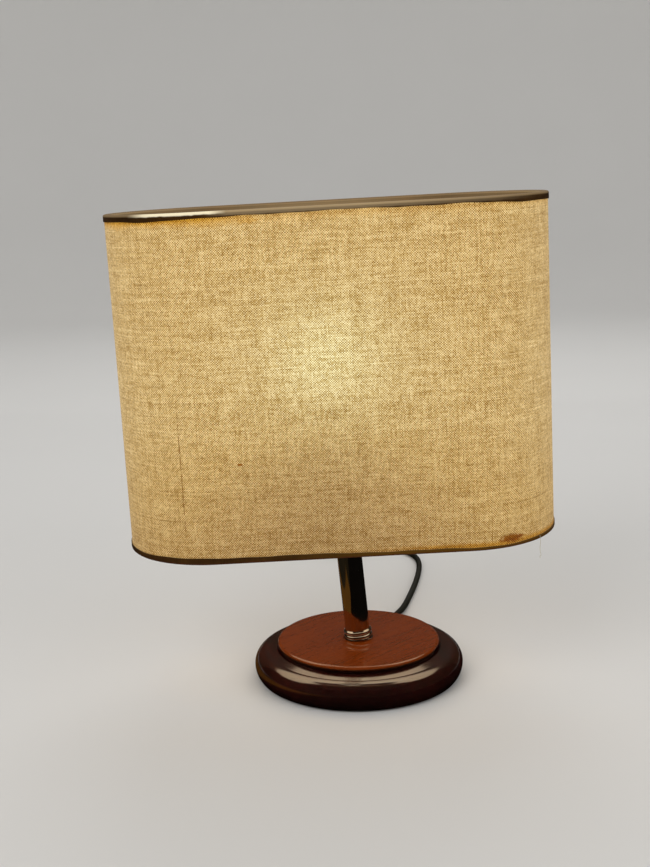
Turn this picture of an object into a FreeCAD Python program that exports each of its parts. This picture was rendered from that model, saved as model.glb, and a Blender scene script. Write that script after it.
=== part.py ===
# Oval table lamp: turned wooden base, leaning chrome stem, lit linen shade on a turning ring,
# screw-in LED bulb, and a mains cord with an in-line switch, a put-away coil and a plug.
# Frame: origin at the centre of the felt pad's underside, +Z up, +X along the shade's long side,
# -Y towards the front. Millimetres.
import FreeCAD, Part
import math
import os
import re
import Sketcher

V = FreeCAD.Vector
doc = FreeCAD.newDocument("table_lamp")

sizes = {
    # turned base, heights above the table
    "felt_radius": 86.0, "felt_thick": 1.5,
    "foot_radius": 89.7, "widest_radius": 93.7, "widest_height": 12.5,
    "foot_curve": 17.1, "shoulder_curve": 12.5, "quirk_radius": 74.0, "quirk_height": 26.9,
    "disc_seat": 27.3, "seat_radius": 68.5, "disc_radius": 72.7, "disc_height": 33.3,
    "disc_edge": 2.4, "disc_undercut": 3.0, "recess_radius": 62.0, "recess_height": 19.5,
    "groove_lip": 1.5, "groove_drop": 1.4, "cutter_long": 60.0,
    # small screws in the clamp and the switch
    "screw_radius": 1.45, "screw_head": 2.8, "screw_head_tall": 1.4, "screw_play": 0.15,
    # leaning axis of the stem, heights measured along it from the top of the base
    "stem_lean": -5.0, "stem_dia": 22.0, "stem_wall": 1.5, "holder_seat": 170.0,
    "collar_radius": 11.7, "collar_foot": 13.2, "collar_sunk": 3.0, "lower_bead": 2.1, "upper_bead": 1.7,
    "rod_dia": 10.0, "rod_bore": 7.8, "rod_hole": 5.1, "spot_face": 9.5, "spot_radius": 14.0,
    "washer_thick": 1.5, "lock_thick": 1.2, "nut_thick": 4.5, "nut_across": 14.0,
    # lamp holder, heights from its seat on the stem
    "holder_radius": 19.5, "holder_inside": 17.0, "holder_split": 20.0, "holder_rim": 52.0,
    "core_foot": 15.0, "core_top": 21.0, "core_radius": 16.9, "well_radius": 6.0,
    "shell_radius": 13.28, "shell_wall": 0.6, "shell_top": 46.4,
    "terminal_reach": 10.0, "terminal_long": 8.0, "terminal_size": 6.0, "terminal_screw": 1.5,
    "lock_height": 1.6, "lock_radius": 1.2,
    "ring_grip": 26.0, "ring_fit": 0.06, "lower_ring_foot": 23.0, "fitter_foot": 29.5,
    "fitter_thick": 3.0, "fitter_radius": 28.0, "ring_gap": 0.1, "upper_ring_top": 38.0,
    # bulb, heights from the holder's seat
    "tip_foot": 21.6, "tip_radius": 4.8, "tip_top": 23.2, "cap_foot": 27.6, "cap_radius": 13.2,
    "cap_top": 47.4, "neck_radius": 14.4, "neck_top": 54.0, "flare_top": 86.0,
    "flare_radius": 27.5, "globe_radius": 30.0, "globe_wall": 1.2, "globe_top": 128.0,
    "board_radius": 23.5, "board_drop": 3.0, "board_thick": 1.6, "driver_half": 8.5,
    "chip_count": 10, "chip_circle": 15.5, "chip_long": 3.5, "chip_wide": 2.8, "chip_tall": 0.8,
    # shade: its bottom centre, its tilt and its racetrack outline
    "shade_offset": -12.1, "shade_height": 132.6, "shade_tilt": -1.79,
    "shade_tall": 287.6, "shade_end": 80.0, "shade_straight": 106.0,
    "fabric_thick": 0.8, "liner_thick": 1.0, "trim_thick": 0.8, "wire_dia": 2.9,
    "bottom_trim_tall": 5.4, "top_trim_tall": 6.2,
    "arm_dia": 2.8, "arm_spread": 58.0, "arm_stub": 12.0,
    # mains cord, its exit and its route
    "cord_dia": 6.0, "exit_turn": 18.0, "exit_height": 8.0, "exit_reach": 120.0,
    "boot_foot": 93.9, "boot_radius": 5.6, "boot_tip": 3.9, "grommet_radius": 4.6,
    "sheath_end": 34.0, "lead_dia": 2.2, "lead_spread": 1.25,
    "clamp_reach": 47.0, "clamp_wide": 24.0, "clamp_long": 9.0, "clamp_screw": 8.0, "clamp_drop": 4.6,
    "slip": 0.05,
    # in-line switch
    "switch_across": -12.5, "switch_back": 369.5, "switch_end": 13.0, "switch_straight": 18.0,
    "switch_split": 8.0, "switch_tall": 19.0, "switch_wall": 2.0, "window_half": 9.9,
    "window_wide": 10.6, "rocker_half": 9.0, "rocker_wide": 10.0, "rocker_pivot": 14.0,
    "rocker_pin": 1.0, "rocker_fit": 0.05, "rocker_tilt": 8.0, "post_across": 20.0, "post_side": 7.0,
    "edge_round": 3.0, "blade_across": 6.0, "blade_long": 9.0, "blade_wide": 5.0, "blade_tall": 6.2,
    "blade_thick": 0.8,
    # coil, tie and plug
    "coil_across": -105.0, "coil_back": 406.0, "coil_outer": 44.0, "coil_pitch": 6.5,
    "coil_foot": 4.2, "coil_half_turns": 6, "tie_wide": 9.0, "tie_inner": 6.7, "tie_outer": 7.4,
    "plug_gap": 25.0, "plug_relief": 22.0, "plug_long": 36.0, "plug_straight": 3.3,
    "plug_half_tall": 10.7, "pin_radius": 2.0, "pin_long": 19.0, "pin_apart": 19.0,
}

# the cord's hand-chosen route, from the boot's end to the switch and from the switch to the coil
run_route = [
    (37.08, 114.13, 8.0), (41.7, 128.4, 7.3), (47.2, 145.6, 4.9), (52.6, 165.5, 3.2),
    (58.6, 190.5, 3.1), (65.6, 221.0, 3.1), (71.6, 252.0, 3.1), (76.4, 283.0, 3.1),
    (78.6, 312.0, 3.1), (75.6, 335.0, 3.1), (66.5, 353.0, 3.3), (52.5, 364.5, 4.4),
    (34.5, 369.5, 6.8), (18.5, 369.5, 8.0),
]
link_route = [
    (-43.5, 369.5, 8.0), (-58.0, 369.5, 7.0), (-74.0, 366.3, 5.2), (-90.0, 362.0, 4.2),
    (-105.0, 362.0, 4.2),
]


def fill_sheet(values):
    sheet = doc.addObject("Spreadsheet::Sheet", "Sizes")
    for row, (name, value) in enumerate(values.items(), start=1):
        sheet.set(f"A{row}", name)
        sheet.set(f"B{row}", str(value))
        sheet.setAlias(f"B{row}", name)
    doc.recompute()
    return sheet


sheet = fill_sheet(sizes)


# an expression in sheet names, as a property takes it
def bound(text):
    return re.sub(r"[a-z_]+", lambda m: f"Sizes.{m[0]}" if m[0] in sizes else m[0], str(text))


def size(text):
    return float(sheet.evalExpression(bound(text)))


# binds a property to a text in sheet names, or sets it where the text holds numbers alone
def bind(thing, prop, text):
    if re.search(r"[a-z_]", str(text)):
        thing.setExpression(prop, bound(text))
    elif prop in thing.PropertiesList:
        setattr(thing, prop, size(text))


# places

stem_frame = FreeCAD.Placement(V(0, 0, size("disc_height")),
                               FreeCAD.Rotation(V(0, 1, 0), size("stem_lean")))
shade_frame = FreeCAD.Placement(V(size("shade_offset"), 0, size("shade_height")),
                                FreeCAD.Rotation(V(0, 1, 0), size("shade_tilt")))
exit_way = V(math.sin(math.radians(size("exit_turn"))), math.cos(math.radians(size("exit_turn"))), 0)


def put_on_stem(thing, rise="0"):
    thing.Placement = FreeCAD.Placement(V(0, 0, 0), FreeCAD.Rotation(V(0, 1, 0), -1))
    bind(thing, "Placement.Rotation.Angle", "stem_lean")
    bind(thing, "Placement.Base.x", f"({rise}) * sin(stem_lean)")
    bind(thing, "Placement.Base.z", f"disc_height + ({rise}) * cos(stem_lean)")


def put_on_shade(thing, rise="0"):
    thing.Placement = FreeCAD.Placement(V(0, 0, 0), FreeCAD.Rotation(V(0, 1, 0), -1))
    bind(thing, "Placement.Rotation.Angle", "shade_tilt")
    bind(thing, "Placement.Base.x", f"shade_offset + ({rise}) * sin(shade_tilt)")
    bind(thing, "Placement.Base.z", f"shade_height + ({rise}) * cos(shade_tilt)")


def put_at(thing, x, y, z):
    thing.Placement.Base = V(size(x), size(y), size(z))
    for axis, text in zip("xyz", (x, y, z)):
        bind(thing, f"Placement.Base.{axis}", text)


# along the cord's way out of the base, with Z pointing out
def along_exit(reach):
    return FreeCAD.Placement(
        exit_way * size(reach) + V(0, 0, size("exit_height")), FreeCAD.Rotation(V(0, 0, 1), exit_way))


# turned and padded bodies

def new_body(label):
    body = doc.addObject("PartDesign::Body", label)
    body.Label = label
    return body


def new_sketch(body, role, lift=None):
    sketch = body.newObject("Sketcher::SketchObject", f"{body.Name}_sketch")
    plane = next(f for f in body.Origin.OriginFeatures if f.Role == role)
    sketch.AttachmentSupport = [(plane, "")]
    sketch.MapMode = "FlatFace"
    if lift is not None:
        sketch.AttachmentOffset.Base.z = size(lift)
        bind(sketch, "AttachmentOffset.Base.z", lift)
    return sketch


# the side from one corner to the next: a line, or an arc that turns left for a radius above zero
def side_of(start, end, radius):
    if not radius:
        return Part.LineSegment(V(*start, 0), V(*end, 0)), (1, 2)
    half = V(end[0] - start[0], end[1] - start[1], 0) * 0.5
    rise = math.sqrt(radius ** 2 - half.Length ** 2)
    left = V(-half.y, half.x, 0).normalize()
    centre = V(*start, 0) + half + left * (rise if radius > 0 else -rise)
    angles = [math.atan2(p[1] - centre.y, p[0] - centre.x) for p in (start, end)]
    if radius < 0:
        angles.reverse()
    if angles[1] < angles[0]:
        angles[1] += 2 * math.pi
    circle = Part.Circle(centre, V(0, 0, 1), abs(radius))
    return Part.ArcOfCircle(circle, *angles), (1, 2) if radius > 0 else (2, 1)


# a closed outline: each corner is (across, up) or, where an arc arrives there, (across, up, radius)
def draw_outline(sketch, corners):
    values = [tuple(size(c) for c in corner) for corner in corners]
    first = sketch.GeometryCount
    ends = []
    for index, value in enumerate(values):
        after = values[(index + 1) % len(values)]
        side, order = side_of(value[:2], after[:2], after[2] if len(after) > 2 else 0)
        sketch.addGeometry(side, False)
        ends.append(order)
    for index, corner in enumerate(corners):
        here, after = first + index, first + (index + 1) % len(corners)
        following = (index + 1) % len(corners)
        sketch.addConstraint(Sketcher.Constraint(
            "Coincident", here, ends[index][1], after, ends[following][0]))
        for kind, text, value in zip(("DistanceX", "DistanceY"), corner, values[index]):
            row = sketch.addConstraint(Sketcher.Constraint(
                kind, -1, 1, here, ends[index][0], value))
            bind(sketch, f"Constraints[{row}]", text)
        if len(corners[following]) > 2:
            radius = values[following][2]
            row = sketch.addConstraint(Sketcher.Constraint("Radius", here, abs(radius)))
            sign = "" if radius > 0 else "-"
            bind(sketch, f"Constraints[{row}]", f"{sign}({corners[following][2]})")


def draw_circle(sketch, across, up, radius):
    ring = sketch.addGeometry(Part.Circle(V(size(across), size(up), 0), V(0, 0, 1), size(radius)))
    for kind, text in (("DistanceX", across), ("DistanceY", up)):
        row = sketch.addConstraint(Sketcher.Constraint(kind, -1, 1, ring, 3, size(text)))
        bind(sketch, f"Constraints[{row}]", text)
    row = sketch.addConstraint(Sketcher.Constraint("Radius", ring, size(radius)))
    bind(sketch, f"Constraints[{row}]", radius)


# a racetrack: half circles of one radius joined by straights, centred on (0, up)
def draw_racetrack(sketch, radius, straight, up="0"):
    low, high = f"{up} - ({radius})", f"{up} + ({radius})"
    first = sketch.GeometryCount
    end, reach, middle = size(radius), size(straight), size(up)
    right = Part.Circle(V(reach, middle, 0), V(0, 0, 1), end)
    left = Part.Circle(V(-reach, middle, 0), V(0, 0, 1), end)
    sketch.addGeometry(Part.LineSegment(V(-reach, middle - end, 0), V(reach, middle - end, 0)))
    sketch.addGeometry(Part.ArcOfCircle(right, -math.pi / 2, math.pi / 2))
    sketch.addGeometry(Part.LineSegment(V(reach, middle + end, 0), V(-reach, middle + end, 0)))
    sketch.addGeometry(Part.ArcOfCircle(left, math.pi / 2, 1.5 * math.pi))
    for index in range(4):
        sketch.addConstraint(Sketcher.Constraint(
            "Coincident", first + index, 2, first + (index + 1) % 4, 1))
    corners = ((f"-({straight})", low), (straight, low), (straight, high), (f"-({straight})", high))
    for index, corner in enumerate(corners):
        for kind, text in zip(("DistanceX", "DistanceY"), corner):
            row = sketch.addConstraint(Sketcher.Constraint(
                kind, -1, 1, first + index, 1, size(text)))
            bind(sketch, f"Constraints[{row}]", text)
    for index, text in ((1, straight), (3, f"-({straight})")):
        row = sketch.addConstraint(Sketcher.Constraint(
            "DistanceX", -1, 1, first + index, 3, size(text)))
        bind(sketch, f"Constraints[{row}]", text)


def turned(label, corners):
    body = new_body(label)
    sketch = new_sketch(body, "XZ_Plane")
    draw_outline(sketch, corners)
    spin = body.newObject("PartDesign::Revolution", f"{label}_turning")
    spin.Profile = sketch
    spin.ReferenceAxis = (sketch, ["V_Axis"])
    spin.Angle = 360
    return body


def extend(body, sketch, kind, length, back=False):
    feature = body.newObject(f"PartDesign::{kind}", f"{body.Name}_{kind.lower()}")
    feature.Profile = sketch
    bind(feature, "Length", length)
    feature.Reversed = back
    return feature


def cylinder(radius, tall, label=None):
    rod = doc.addObject("Part::Cylinder", label or "rod")
    bind(rod, "Radius", radius)
    bind(rod, "Height", tall)
    return rod


def combine(kind, label, first, second):
    result = doc.addObject(f"Part::{kind}", label)
    result.Label = label
    result.Base = first
    result.Tool = second
    return result


def grouped(label, members):
    group = doc.addObject("Part::Compound", label)
    group.Label = label
    group.Links = members
    return group


def shaped(label, shape):
    feature = doc.addObject("Part::Feature", label)
    feature.Label = label
    feature.Shape = shape
    return feature


# tubes along straight runs joined by tangent arcs, each arc as large as its runs allow
def tube_path(points):
    edges = []
    radii = []
    last = points[0]
    for before, corner, after in zip(points, points[1:], points[2:]):
        arriving, leaving = (corner - before), (after - corner)
        turn = arriving.getAngle(leaving)
        reach = 0.45 * min(arriving.Length, leaving.Length)
        arriving.normalize()
        leaving.normalize()
        radius = reach / math.tan(turn / 2)
        inward = (leaving - arriving).normalize()
        start, end = corner - arriving * reach, corner + leaving * reach
        middle = corner + inward * (radius / math.cos(turn / 2) - radius)
        edges.append(Part.LineSegment(last, start).toShape())
        edges.append(Part.Arc(start, middle, end).toShape())
        radii.append(radius)
        last = end
    edges.append(Part.LineSegment(last, points[-1]).toShape())
    return Part.Wire(edges), radii


def tube_along(wire, radius):
    start = wire.OrderedEdges[0]
    section = Part.Wire(Part.makeCircle(
        radius, start.valueAt(start.FirstParameter), start.tangentAt(start.FirstParameter)))
    return wire.makePipeShell([section], True, False)


def tube(label, points, radius):
    wire, radii = tube_path([V(*p) for p in points])
    shape = tube_along(wire, radius)
    expected = math.pi * radius ** 2 * wire.Length
    print(f"{label}: {wire.Length:.1f} mm long, least radius {min(radii or [0]):.1f} mm, "
          f"volume over section times length {shape.Volume / expected:.4f}")
    return shaped(label, shape)


# the base

def make_lower_tier():
    wood = turned("base_turning", [
        ("rod_hole", "felt_thick"), ("foot_radius", "felt_thick"),
        ("widest_radius", "widest_height", "foot_curve"),
        ("widest_radius - shoulder_curve", "widest_height + shoulder_curve", "shoulder_curve"),
        ("quirk_radius", "quirk_height"),
        ("seat_radius + groove_lip", "quirk_height - groove_drop"),
        ("seat_radius", "disc_seat"), ("rod_hole", "disc_seat"),
    ])
    recess = new_sketch(wood, "XY_Plane", "felt_thick")
    draw_circle(recess, "0", "0", "recess_radius")
    extend(wood, recess, "Pocket", "recess_height - felt_thick", True)
    spot = cylinder("spot_radius", "cutter_long")
    put_on_stem(spot, "-spot_face - cutter_long")
    hole = cylinder("rod_hole", "cutter_long")
    put_on_stem(hole, "-cutter_long / 2")
    grommet = cylinder("grommet_radius + slip", "cutter_long")
    grommet.Placement = along_exit("clamp_reach")
    spotted = combine("Cut", "base_spotted", wood, spot)
    bored = combine("Cut", "base_bored", spotted, hole)
    return combine("Cut", "base_lower_tier", bored, grommet)


def make_top_disc():
    disc = turned("disc_turning", [
        ("0", "disc_seat"), ("disc_radius - disc_undercut", "disc_seat"),
        ("disc_radius - 1", "disc_seat + 1.4"),
        ("disc_radius", "disc_height - disc_edge", 3.2),
        ("disc_radius - disc_edge", "disc_height", "disc_edge"), ("0", "disc_height"),
    ])
    seat = cylinder("collar_foot + 0.1", "cutter_long")
    put_on_stem(seat, "-collar_sunk")
    hole = cylinder("rod_hole", "cutter_long")
    put_on_stem(hole, "-cutter_long / 2")
    return combine("Cut", "base_top_disc", combine("Cut", "disc_seated", disc, seat), hole)


def make_felt_pad():
    pad = cylinder("felt_radius", "felt_thick", "felt_pad")
    pad.Label = "felt_pad"
    return pad


def make_strain_relief():
    grooves = []
    for step in range(4):
        along = f"boot_foot + {6.0 + 4.6 * step}"
        width = f"boot_radius - {0.40 * (step + 1):.2f}"
        grooves += [(width, along), (f"{width} - 0.7", f"{along} + 0.4"),
                    (f"{width} - 0.7", f"{along} + 1.6"), (f"{width} - 0.1", f"{along} + 2.0")]
    boot = turned("strain_relief", [
        ("cord_dia / 2 + slip", "recess_radius - 4"), ("grommet_radius + 1.4", "recess_radius - 4"),
        ("grommet_radius + 1.4", "recess_radius - 0.5"), ("grommet_radius", "recess_radius - 0.5"),
        ("grommet_radius", "boot_foot"), ("boot_radius", "boot_foot"),
        ("boot_radius", "boot_foot + 3"), *grooves,
        ("boot_tip", "exit_reach"), ("cord_dia / 2 + slip", "exit_reach"),
    ])
    boot.Placement = along_exit("0")
    return boot


def make_cord_clamp():
    block = doc.addObject("Part::Box", "clamp_block")
    foot = "exit_height - clamp_drop"
    bind(block, "Length", "clamp_wide")
    bind(block, "Width", "clamp_long")
    bind(block, "Height", f"recess_height - ({foot})")
    turn = FreeCAD.Rotation(V(0, 0, 1), -size("exit_turn"))
    block.Placement = FreeCAD.Placement(
        exit_way * size("clamp_reach") + turn.multVec(V(-size("clamp_wide") / 2, 0, size(foot))), turn)
    way = cylinder("cord_dia / 2 + slip", "cutter_long")
    way.Placement = along_exit("clamp_reach - cutter_long / 2")
    middle = exit_way * (size("clamp_reach") + size("clamp_long") / 2)
    drilled = combine("Cut", "clamp_bored", block, way)
    screws = []
    for side in (-1, 1):
        place = middle + turn.multVec(V(side * size("clamp_screw"), 0, 0))
        hole = cylinder("screw_radius + screw_play", "cutter_long")
        hole.Placement.Base = place
        drilled = combine("Cut", "clamp_drilled", drilled, hole)
        shank = cylinder("screw_radius", f"recess_height - ({foot})")
        shank.Placement.Base = place + V(0, 0, size(foot))
        head = cylinder("screw_head", "screw_head_tall")
        head.Placement.Base = place + V(0, 0, size(f"{foot} - screw_head_tall"))
        screws.append(combine("Fuse", "clamp_screw", shank, head))
    drilled.Label = "cord_clamp"
    return [drilled, grouped("clamp_screws", screws)]


# the stem and what clamps it to the base

def make_stem():
    bead, sleeve = "collar_radius", "stem_dia / 2 + slip"
    collar = turned("stem_collar", [
        ("rod_hole", "-collar_sunk"), ("collar_foot", "-collar_sunk"), ("collar_foot", "0.2"),
        (bead, "0.9"), (bead, "4.7", "lower_bead"), (bead, "5.3"), (bead, "8.4", "upper_bead"),
        (sleeve, "8.9"), (sleeve, "1"), ("rod_hole", "1"),
    ])
    tube_body = turned("stem_tube", [
        ("stem_dia / 2 - stem_wall", "1"), ("stem_dia / 2", "1"),
        ("stem_dia / 2", "holder_seat - 3"), ("stem_dia / 2 - stem_wall", "holder_seat - 3"),
    ])
    plug = "stem_dia / 2 - stem_wall - slip"
    cap = turned("stem_cap", [
        ("rod_hole", "holder_seat - 8"), (plug, "holder_seat - 8"), (plug, "holder_seat - 3"),
        ("stem_dia / 2 + 1", "holder_seat - 3"), ("stem_dia / 2 + 1", "holder_seat - 1"),
        ("stem_dia / 2", "holder_seat", 1.2), ("rod_hole", "holder_seat"),
    ])
    below = "-spot_face - washer_thick"
    rod_foot = f"{below} - lock_thick - nut_thick - 1.2"
    rod = turned("threaded_rod", [
        ("rod_bore / 2", rod_foot), ("rod_dia / 2 - 0.4", rod_foot), ("rod_dia / 2", f"{rod_foot} + 0.6"),
        ("rod_dia / 2", "holder_seat + 7.6"), ("rod_dia / 2 - 0.4", "holder_seat + 8"),
        ("rod_bore / 2", "holder_seat + 8"),
    ])
    washer = turned("base_washer", [
        ("rod_hole", below), ("spot_radius - 0.6", below), ("spot_radius - 0.6", "-spot_face"),
        ("rod_hole", "-spot_face"),
    ])
    lock = turned("lock_washer", [
        ("rod_hole", f"{below} - lock_thick"), ("nut_across / 2 + 1.6", f"{below} - lock_thick"),
        ("nut_across / 2 + 1.6", below), ("rod_hole", below),
    ])
    nut = new_body("base_nut")
    outline = new_sketch(nut, "XY_Plane", f"{below} - lock_thick - nut_thick")
    flat, point = "nut_across / 2", "nut_across / sqrt(3)"
    draw_outline(outline, [
        (point, "0"), (f"{point} / 2", flat), (f"-({point} / 2)", flat), (f"-({point})", "0"),
        (f"-({point} / 2)", f"-({flat})"), (f"{point} / 2", f"-({flat})"),
    ])
    draw_circle(outline, "0", "0", "rod_dia / 2 + 0.02")
    extend(nut, outline, "Pad", "nut_thick")
    pieces = [collar, tube_body, cap, rod, washer, lock, nut]
    for piece in pieces:
        put_on_stem(piece)
    return pieces


# the lamp holder, its heights from the seat on top of the stem

def make_holder():
    base = turned("holder_base", [
        ("rod_hole", "0"), ("9", "0"), ("9", "3"), ("holder_radius - 4", "3"),
        ("holder_radius", "7", 4), ("holder_radius", "holder_split"),
        ("holder_inside", "holder_split"), ("holder_inside", "8.5"), ("holder_inside - 3", "5.5"),
        ("rod_hole", "5.5"),
    ])
    hole = new_sketch(base, "XZ_Plane")
    draw_circle(hole, "0", "lock_height", "lock_radius + slip")
    extend(base, hole, "Pocket", "12", True)
    lock_screw = cylinder("lock_radius", "4.3", "rod_lock_screw")
    lock_screw.Label = "rod_lock_screw"
    shell = turned("holder_shell", [
        ("holder_inside", "holder_split"), ("holder_radius", "holder_split"),
        ("holder_radius", "holder_rim - 1"), ("holder_radius - 1", "holder_rim"),
        ("15", "holder_rim"), ("15", "holder_rim - 2"), ("holder_inside", "holder_rim - 3.5"),
    ])
    core = turned("holder_core", [
        ("2", "core_foot"), ("core_radius", "core_foot"), ("core_radius", "core_top"),
        ("well_radius", "core_top"), ("well_radius", "core_top - 3"), ("2", "core_top - 3"),
    ])
    screw = turned("screw_shell", [
        ("9.5", "core_top"), ("shell_radius + shell_wall", "core_top"),
        ("shell_radius + shell_wall", "shell_top"), ("shell_radius", "shell_top"),
        ("shell_radius", "core_top + shell_wall"), ("9.5", "core_top + shell_wall"),
    ])
    contact = turned("centre_contact", [
        ("0", "core_top - 3"), ("well_radius - 1.5", "core_top - 3"),
        ("well_radius - 1.5", "core_top - 2.4"), ("2.2", "core_top - 2.1"),
        ("2.2", "core_top - 0.2"), ("1.5", "tip_foot - 0.3"), ("0", "tip_foot - 0.3"),
    ])
    lower = turned("lower_shade_ring", shade_ring("lower_ring_foot", "fitter_foot - ring_gap"))
    upper = turned("upper_shade_ring", shade_ring(
        "fitter_foot + fitter_thick + ring_gap", "upper_ring_top"))
    terminals, screws = make_terminals()
    pieces = [base, shell, core, screw, contact, lower, upper]
    for piece in pieces:
        put_on_stem(piece, "holder_seat")
    lock_screw.Placement = stem_frame.multiply(FreeCAD.Placement(
        V(0, -size("rod_dia / 2"), size("holder_seat + lock_height")),
        FreeCAD.Rotation(V(1, 0, 0), 90)))
    return pieces + [lock_screw, terminals, screws]


def shade_ring(foot, top):
    inside = "holder_radius + ring_fit"
    return [(inside, foot), ("ring_grip - 0.8", foot), ("ring_grip", f"{foot} + 0.8"),
            ("ring_grip", f"{top} - 0.8"), ("ring_grip - 0.8", top), (inside, top)]


def make_terminals():
    blocks = []
    screws = []
    for side in (-1, 1):
        block = doc.addObject("Part::Box", "terminal_block")
        bind(block, "Length", "terminal_size")
        bind(block, "Width", "terminal_long")
        bind(block, "Height", "terminal_size")
        block.Placement = stem_frame.multiply(FreeCAD.Placement(
            V(side * size("terminal_reach") - size("terminal_size / 2"), -size("terminal_long / 2"),
              size("holder_seat + core_foot - terminal_size")), FreeCAD.Rotation()))
        parts = []
        for radius, tall, foot in (("terminal_screw + slip / 2", "20", "core_foot - 20"),
                                   ("terminal_screw", "6.4", "core_foot - 7.4"),
                                   ("2.5", "1.6", "core_foot - terminal_size - 1.6")):
            rod = cylinder(radius, tall)
            rod.Placement = stem_frame.multiply(FreeCAD.Placement(
                V(side * size("terminal_reach"), 2.0, size(f"holder_seat + {foot}")),
                FreeCAD.Rotation()))
            parts.append(rod)
        blocks.append(combine("Cut", "terminal_drilled", block, parts[0]))
        screws.append(combine("Fuse", "terminal_screw_whole", parts[1], parts[2]))
    return grouped("terminal_blocks", blocks), grouped("terminal_screws", screws)


# the bulb

def make_bulb():
    tip = turned("bulb_tip", [
        ("0", "tip_foot"), ("tip_radius - 1.4", "tip_foot"), ("tip_radius", "tip_foot + 1"),
        ("tip_radius", "tip_top"), ("0", "tip_top"),
    ])
    insulator = turned("bulb_insulator", [
        ("0", "tip_top"), ("7", "tip_top"), ("cap_radius - 1.4", "cap_foot"), ("0", "cap_foot"),
    ])
    cap = turned("bulb_cap", [
        ("cap_radius - 1.4", "cap_foot"), ("cap_radius", "cap_foot + 1.4"), ("cap_radius", "cap_top"),
        ("cap_radius - 0.7", "cap_top"), ("cap_radius - 0.7", "cap_foot + 1.8"),
        ("cap_radius - 1.7", "cap_foot + 0.8"), ("cap_radius - 1.7", "cap_foot"),
    ])
    body = turned("bulb_body", [
        ("neck_radius - 1.8", "cap_top"), ("neck_radius", "cap_top"), ("neck_radius", "neck_top"),
        ("flare_radius", "flare_top", -60), ("flare_radius - 1.8", "flare_top"),
        ("neck_radius - 1.8", "neck_top", 62),
    ])
    globe = turned("bulb_globe", [
        ("flare_radius - globe_wall", "flare_top"), ("flare_radius", "flare_top"),
        ("globe_radius", "globe_top - globe_radius", "globe_radius"),
        ("0", "globe_top", "globe_radius"), ("0", "globe_top - globe_wall"),
        ("globe_radius - globe_wall", "globe_top - globe_radius", "globe_wall - globe_radius"),
    ])
    below = "flare_top - board_drop"
    board = turned("led_board", [
        ("3", below), ("board_radius", below), ("board_radius", f"{below} + board_thick"),
        ("3", f"{below} + board_thick"),
    ])
    driver = new_body("driver_board")
    outline = new_sketch(driver, "XZ_Plane", "-board_thick / 2")
    low, high = "cap_foot + 4", "flare_top - 8"
    draw_outline(outline, [
        ("-driver_half", low), ("driver_half", low), ("driver_half", high), ("-driver_half", high),
    ])
    extend(driver, outline, "Pad", "board_thick")
    pieces = [tip, insulator, cap, body, globe, board, driver]
    for piece in pieces:
        put_on_stem(piece, "holder_seat")
    return pieces + [make_chips()]


def make_chips():
    chips = []
    count = int(size("chip_count"))
    for step in range(count):
        turn = FreeCAD.Rotation(V(0, 0, 1), 360 * step / count)
        chip = doc.addObject("Part::Box", "led_chip")
        for side, text in (("Length", "chip_long"), ("Width", "chip_wide"), ("Height", "chip_tall")):
            bind(chip, side, text)
        corner = turn.multVec(V(size("chip_circle"), -size("chip_wide / 2"), 0))
        chip.Placement = stem_frame.multiply(FreeCAD.Placement(
            corner + V(0, 0, size("holder_seat + flare_top - board_drop + board_thick")), turn))
        chips.append(chip)
    return grouped("led_chips", chips)


# the shade

inner_face = "shade_end - fabric_thick - liner_thick"
wire_line = f"{inner_face} - wire_dia / 2"


def racetrack_ring(label, outer, inner, foot, tall):
    body = new_body(label)
    sketch = new_sketch(body, "XY_Plane", foot)
    draw_racetrack(sketch, outer, "shade_straight")
    draw_racetrack(sketch, inner, "shade_straight")
    extend(body, sketch, "Pad", tall)
    put_on_shade(body)
    return body


def wire_ring(label, rise):
    body = new_body(label)
    spine = new_sketch(body, "XY_Plane", rise)
    draw_racetrack(spine, wire_line, "shade_straight")
    section = new_sketch(body, "YZ_Plane")
    draw_circle(section, f"-({wire_line})", rise, "wire_dia / 2")
    pipe = body.newObject("PartDesign::AdditivePipe", f"{label}_pipe")
    pipe.Profile = section
    pipe.Spine = (spine, [])
    put_on_shade(body)
    return body


# the tape is a channel over the rim, its web outside the fabric's edge
def rim_tape(label, foot, tall, opens_up):
    inside = f"{inner_face} - wire_dia - 0.1"
    body = racetrack_ring(label, "shade_end + trim_thick", f"{inside} - trim_thick", foot, tall)
    slot = new_sketch(body, "XY_Plane", f"{foot} + {tall}" if opens_up else foot)
    draw_racetrack(slot, "shade_end", "shade_straight")
    draw_racetrack(slot, inside, "shade_straight")
    extend(body, slot, "Pocket", f"{tall} - trim_thick", not opens_up)
    return body


def make_shade():
    skin_tall = "shade_tall - 2 * trim_thick"
    pieces = [
        racetrack_ring("shade_fabric", "shade_end", "shade_end - fabric_thick", "trim_thick", skin_tall),
        racetrack_ring("shade_liner", "shade_end - fabric_thick", inner_face, "trim_thick", skin_tall),
        wire_ring("bottom_wire_ring", "trim_thick + wire_dia / 2"),
        wire_ring("top_wire_ring", "shade_tall - trim_thick - wire_dia / 2"),
        rim_tape("bottom_trim", "0", "bottom_trim_tall", True),
        rim_tape("top_trim", "shade_tall - top_trim_tall", "top_trim_tall", False),
    ]
    ring = turned("fitter_ring", [
        ("holder_radius + ring_fit", "fitter_foot"), ("fitter_radius", "fitter_foot"),
        ("fitter_radius", "fitter_foot + fitter_thick"),
        ("holder_radius + ring_fit", "fitter_foot + fitter_thick"),
    ])
    put_on_stem(ring, "holder_seat")
    return pieces + [ring, grouped("fitter_arms", [make_arm(*way) for way in (
        (1, 1), (-1, 1), (-1, -1), (1, -1))])]


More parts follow.
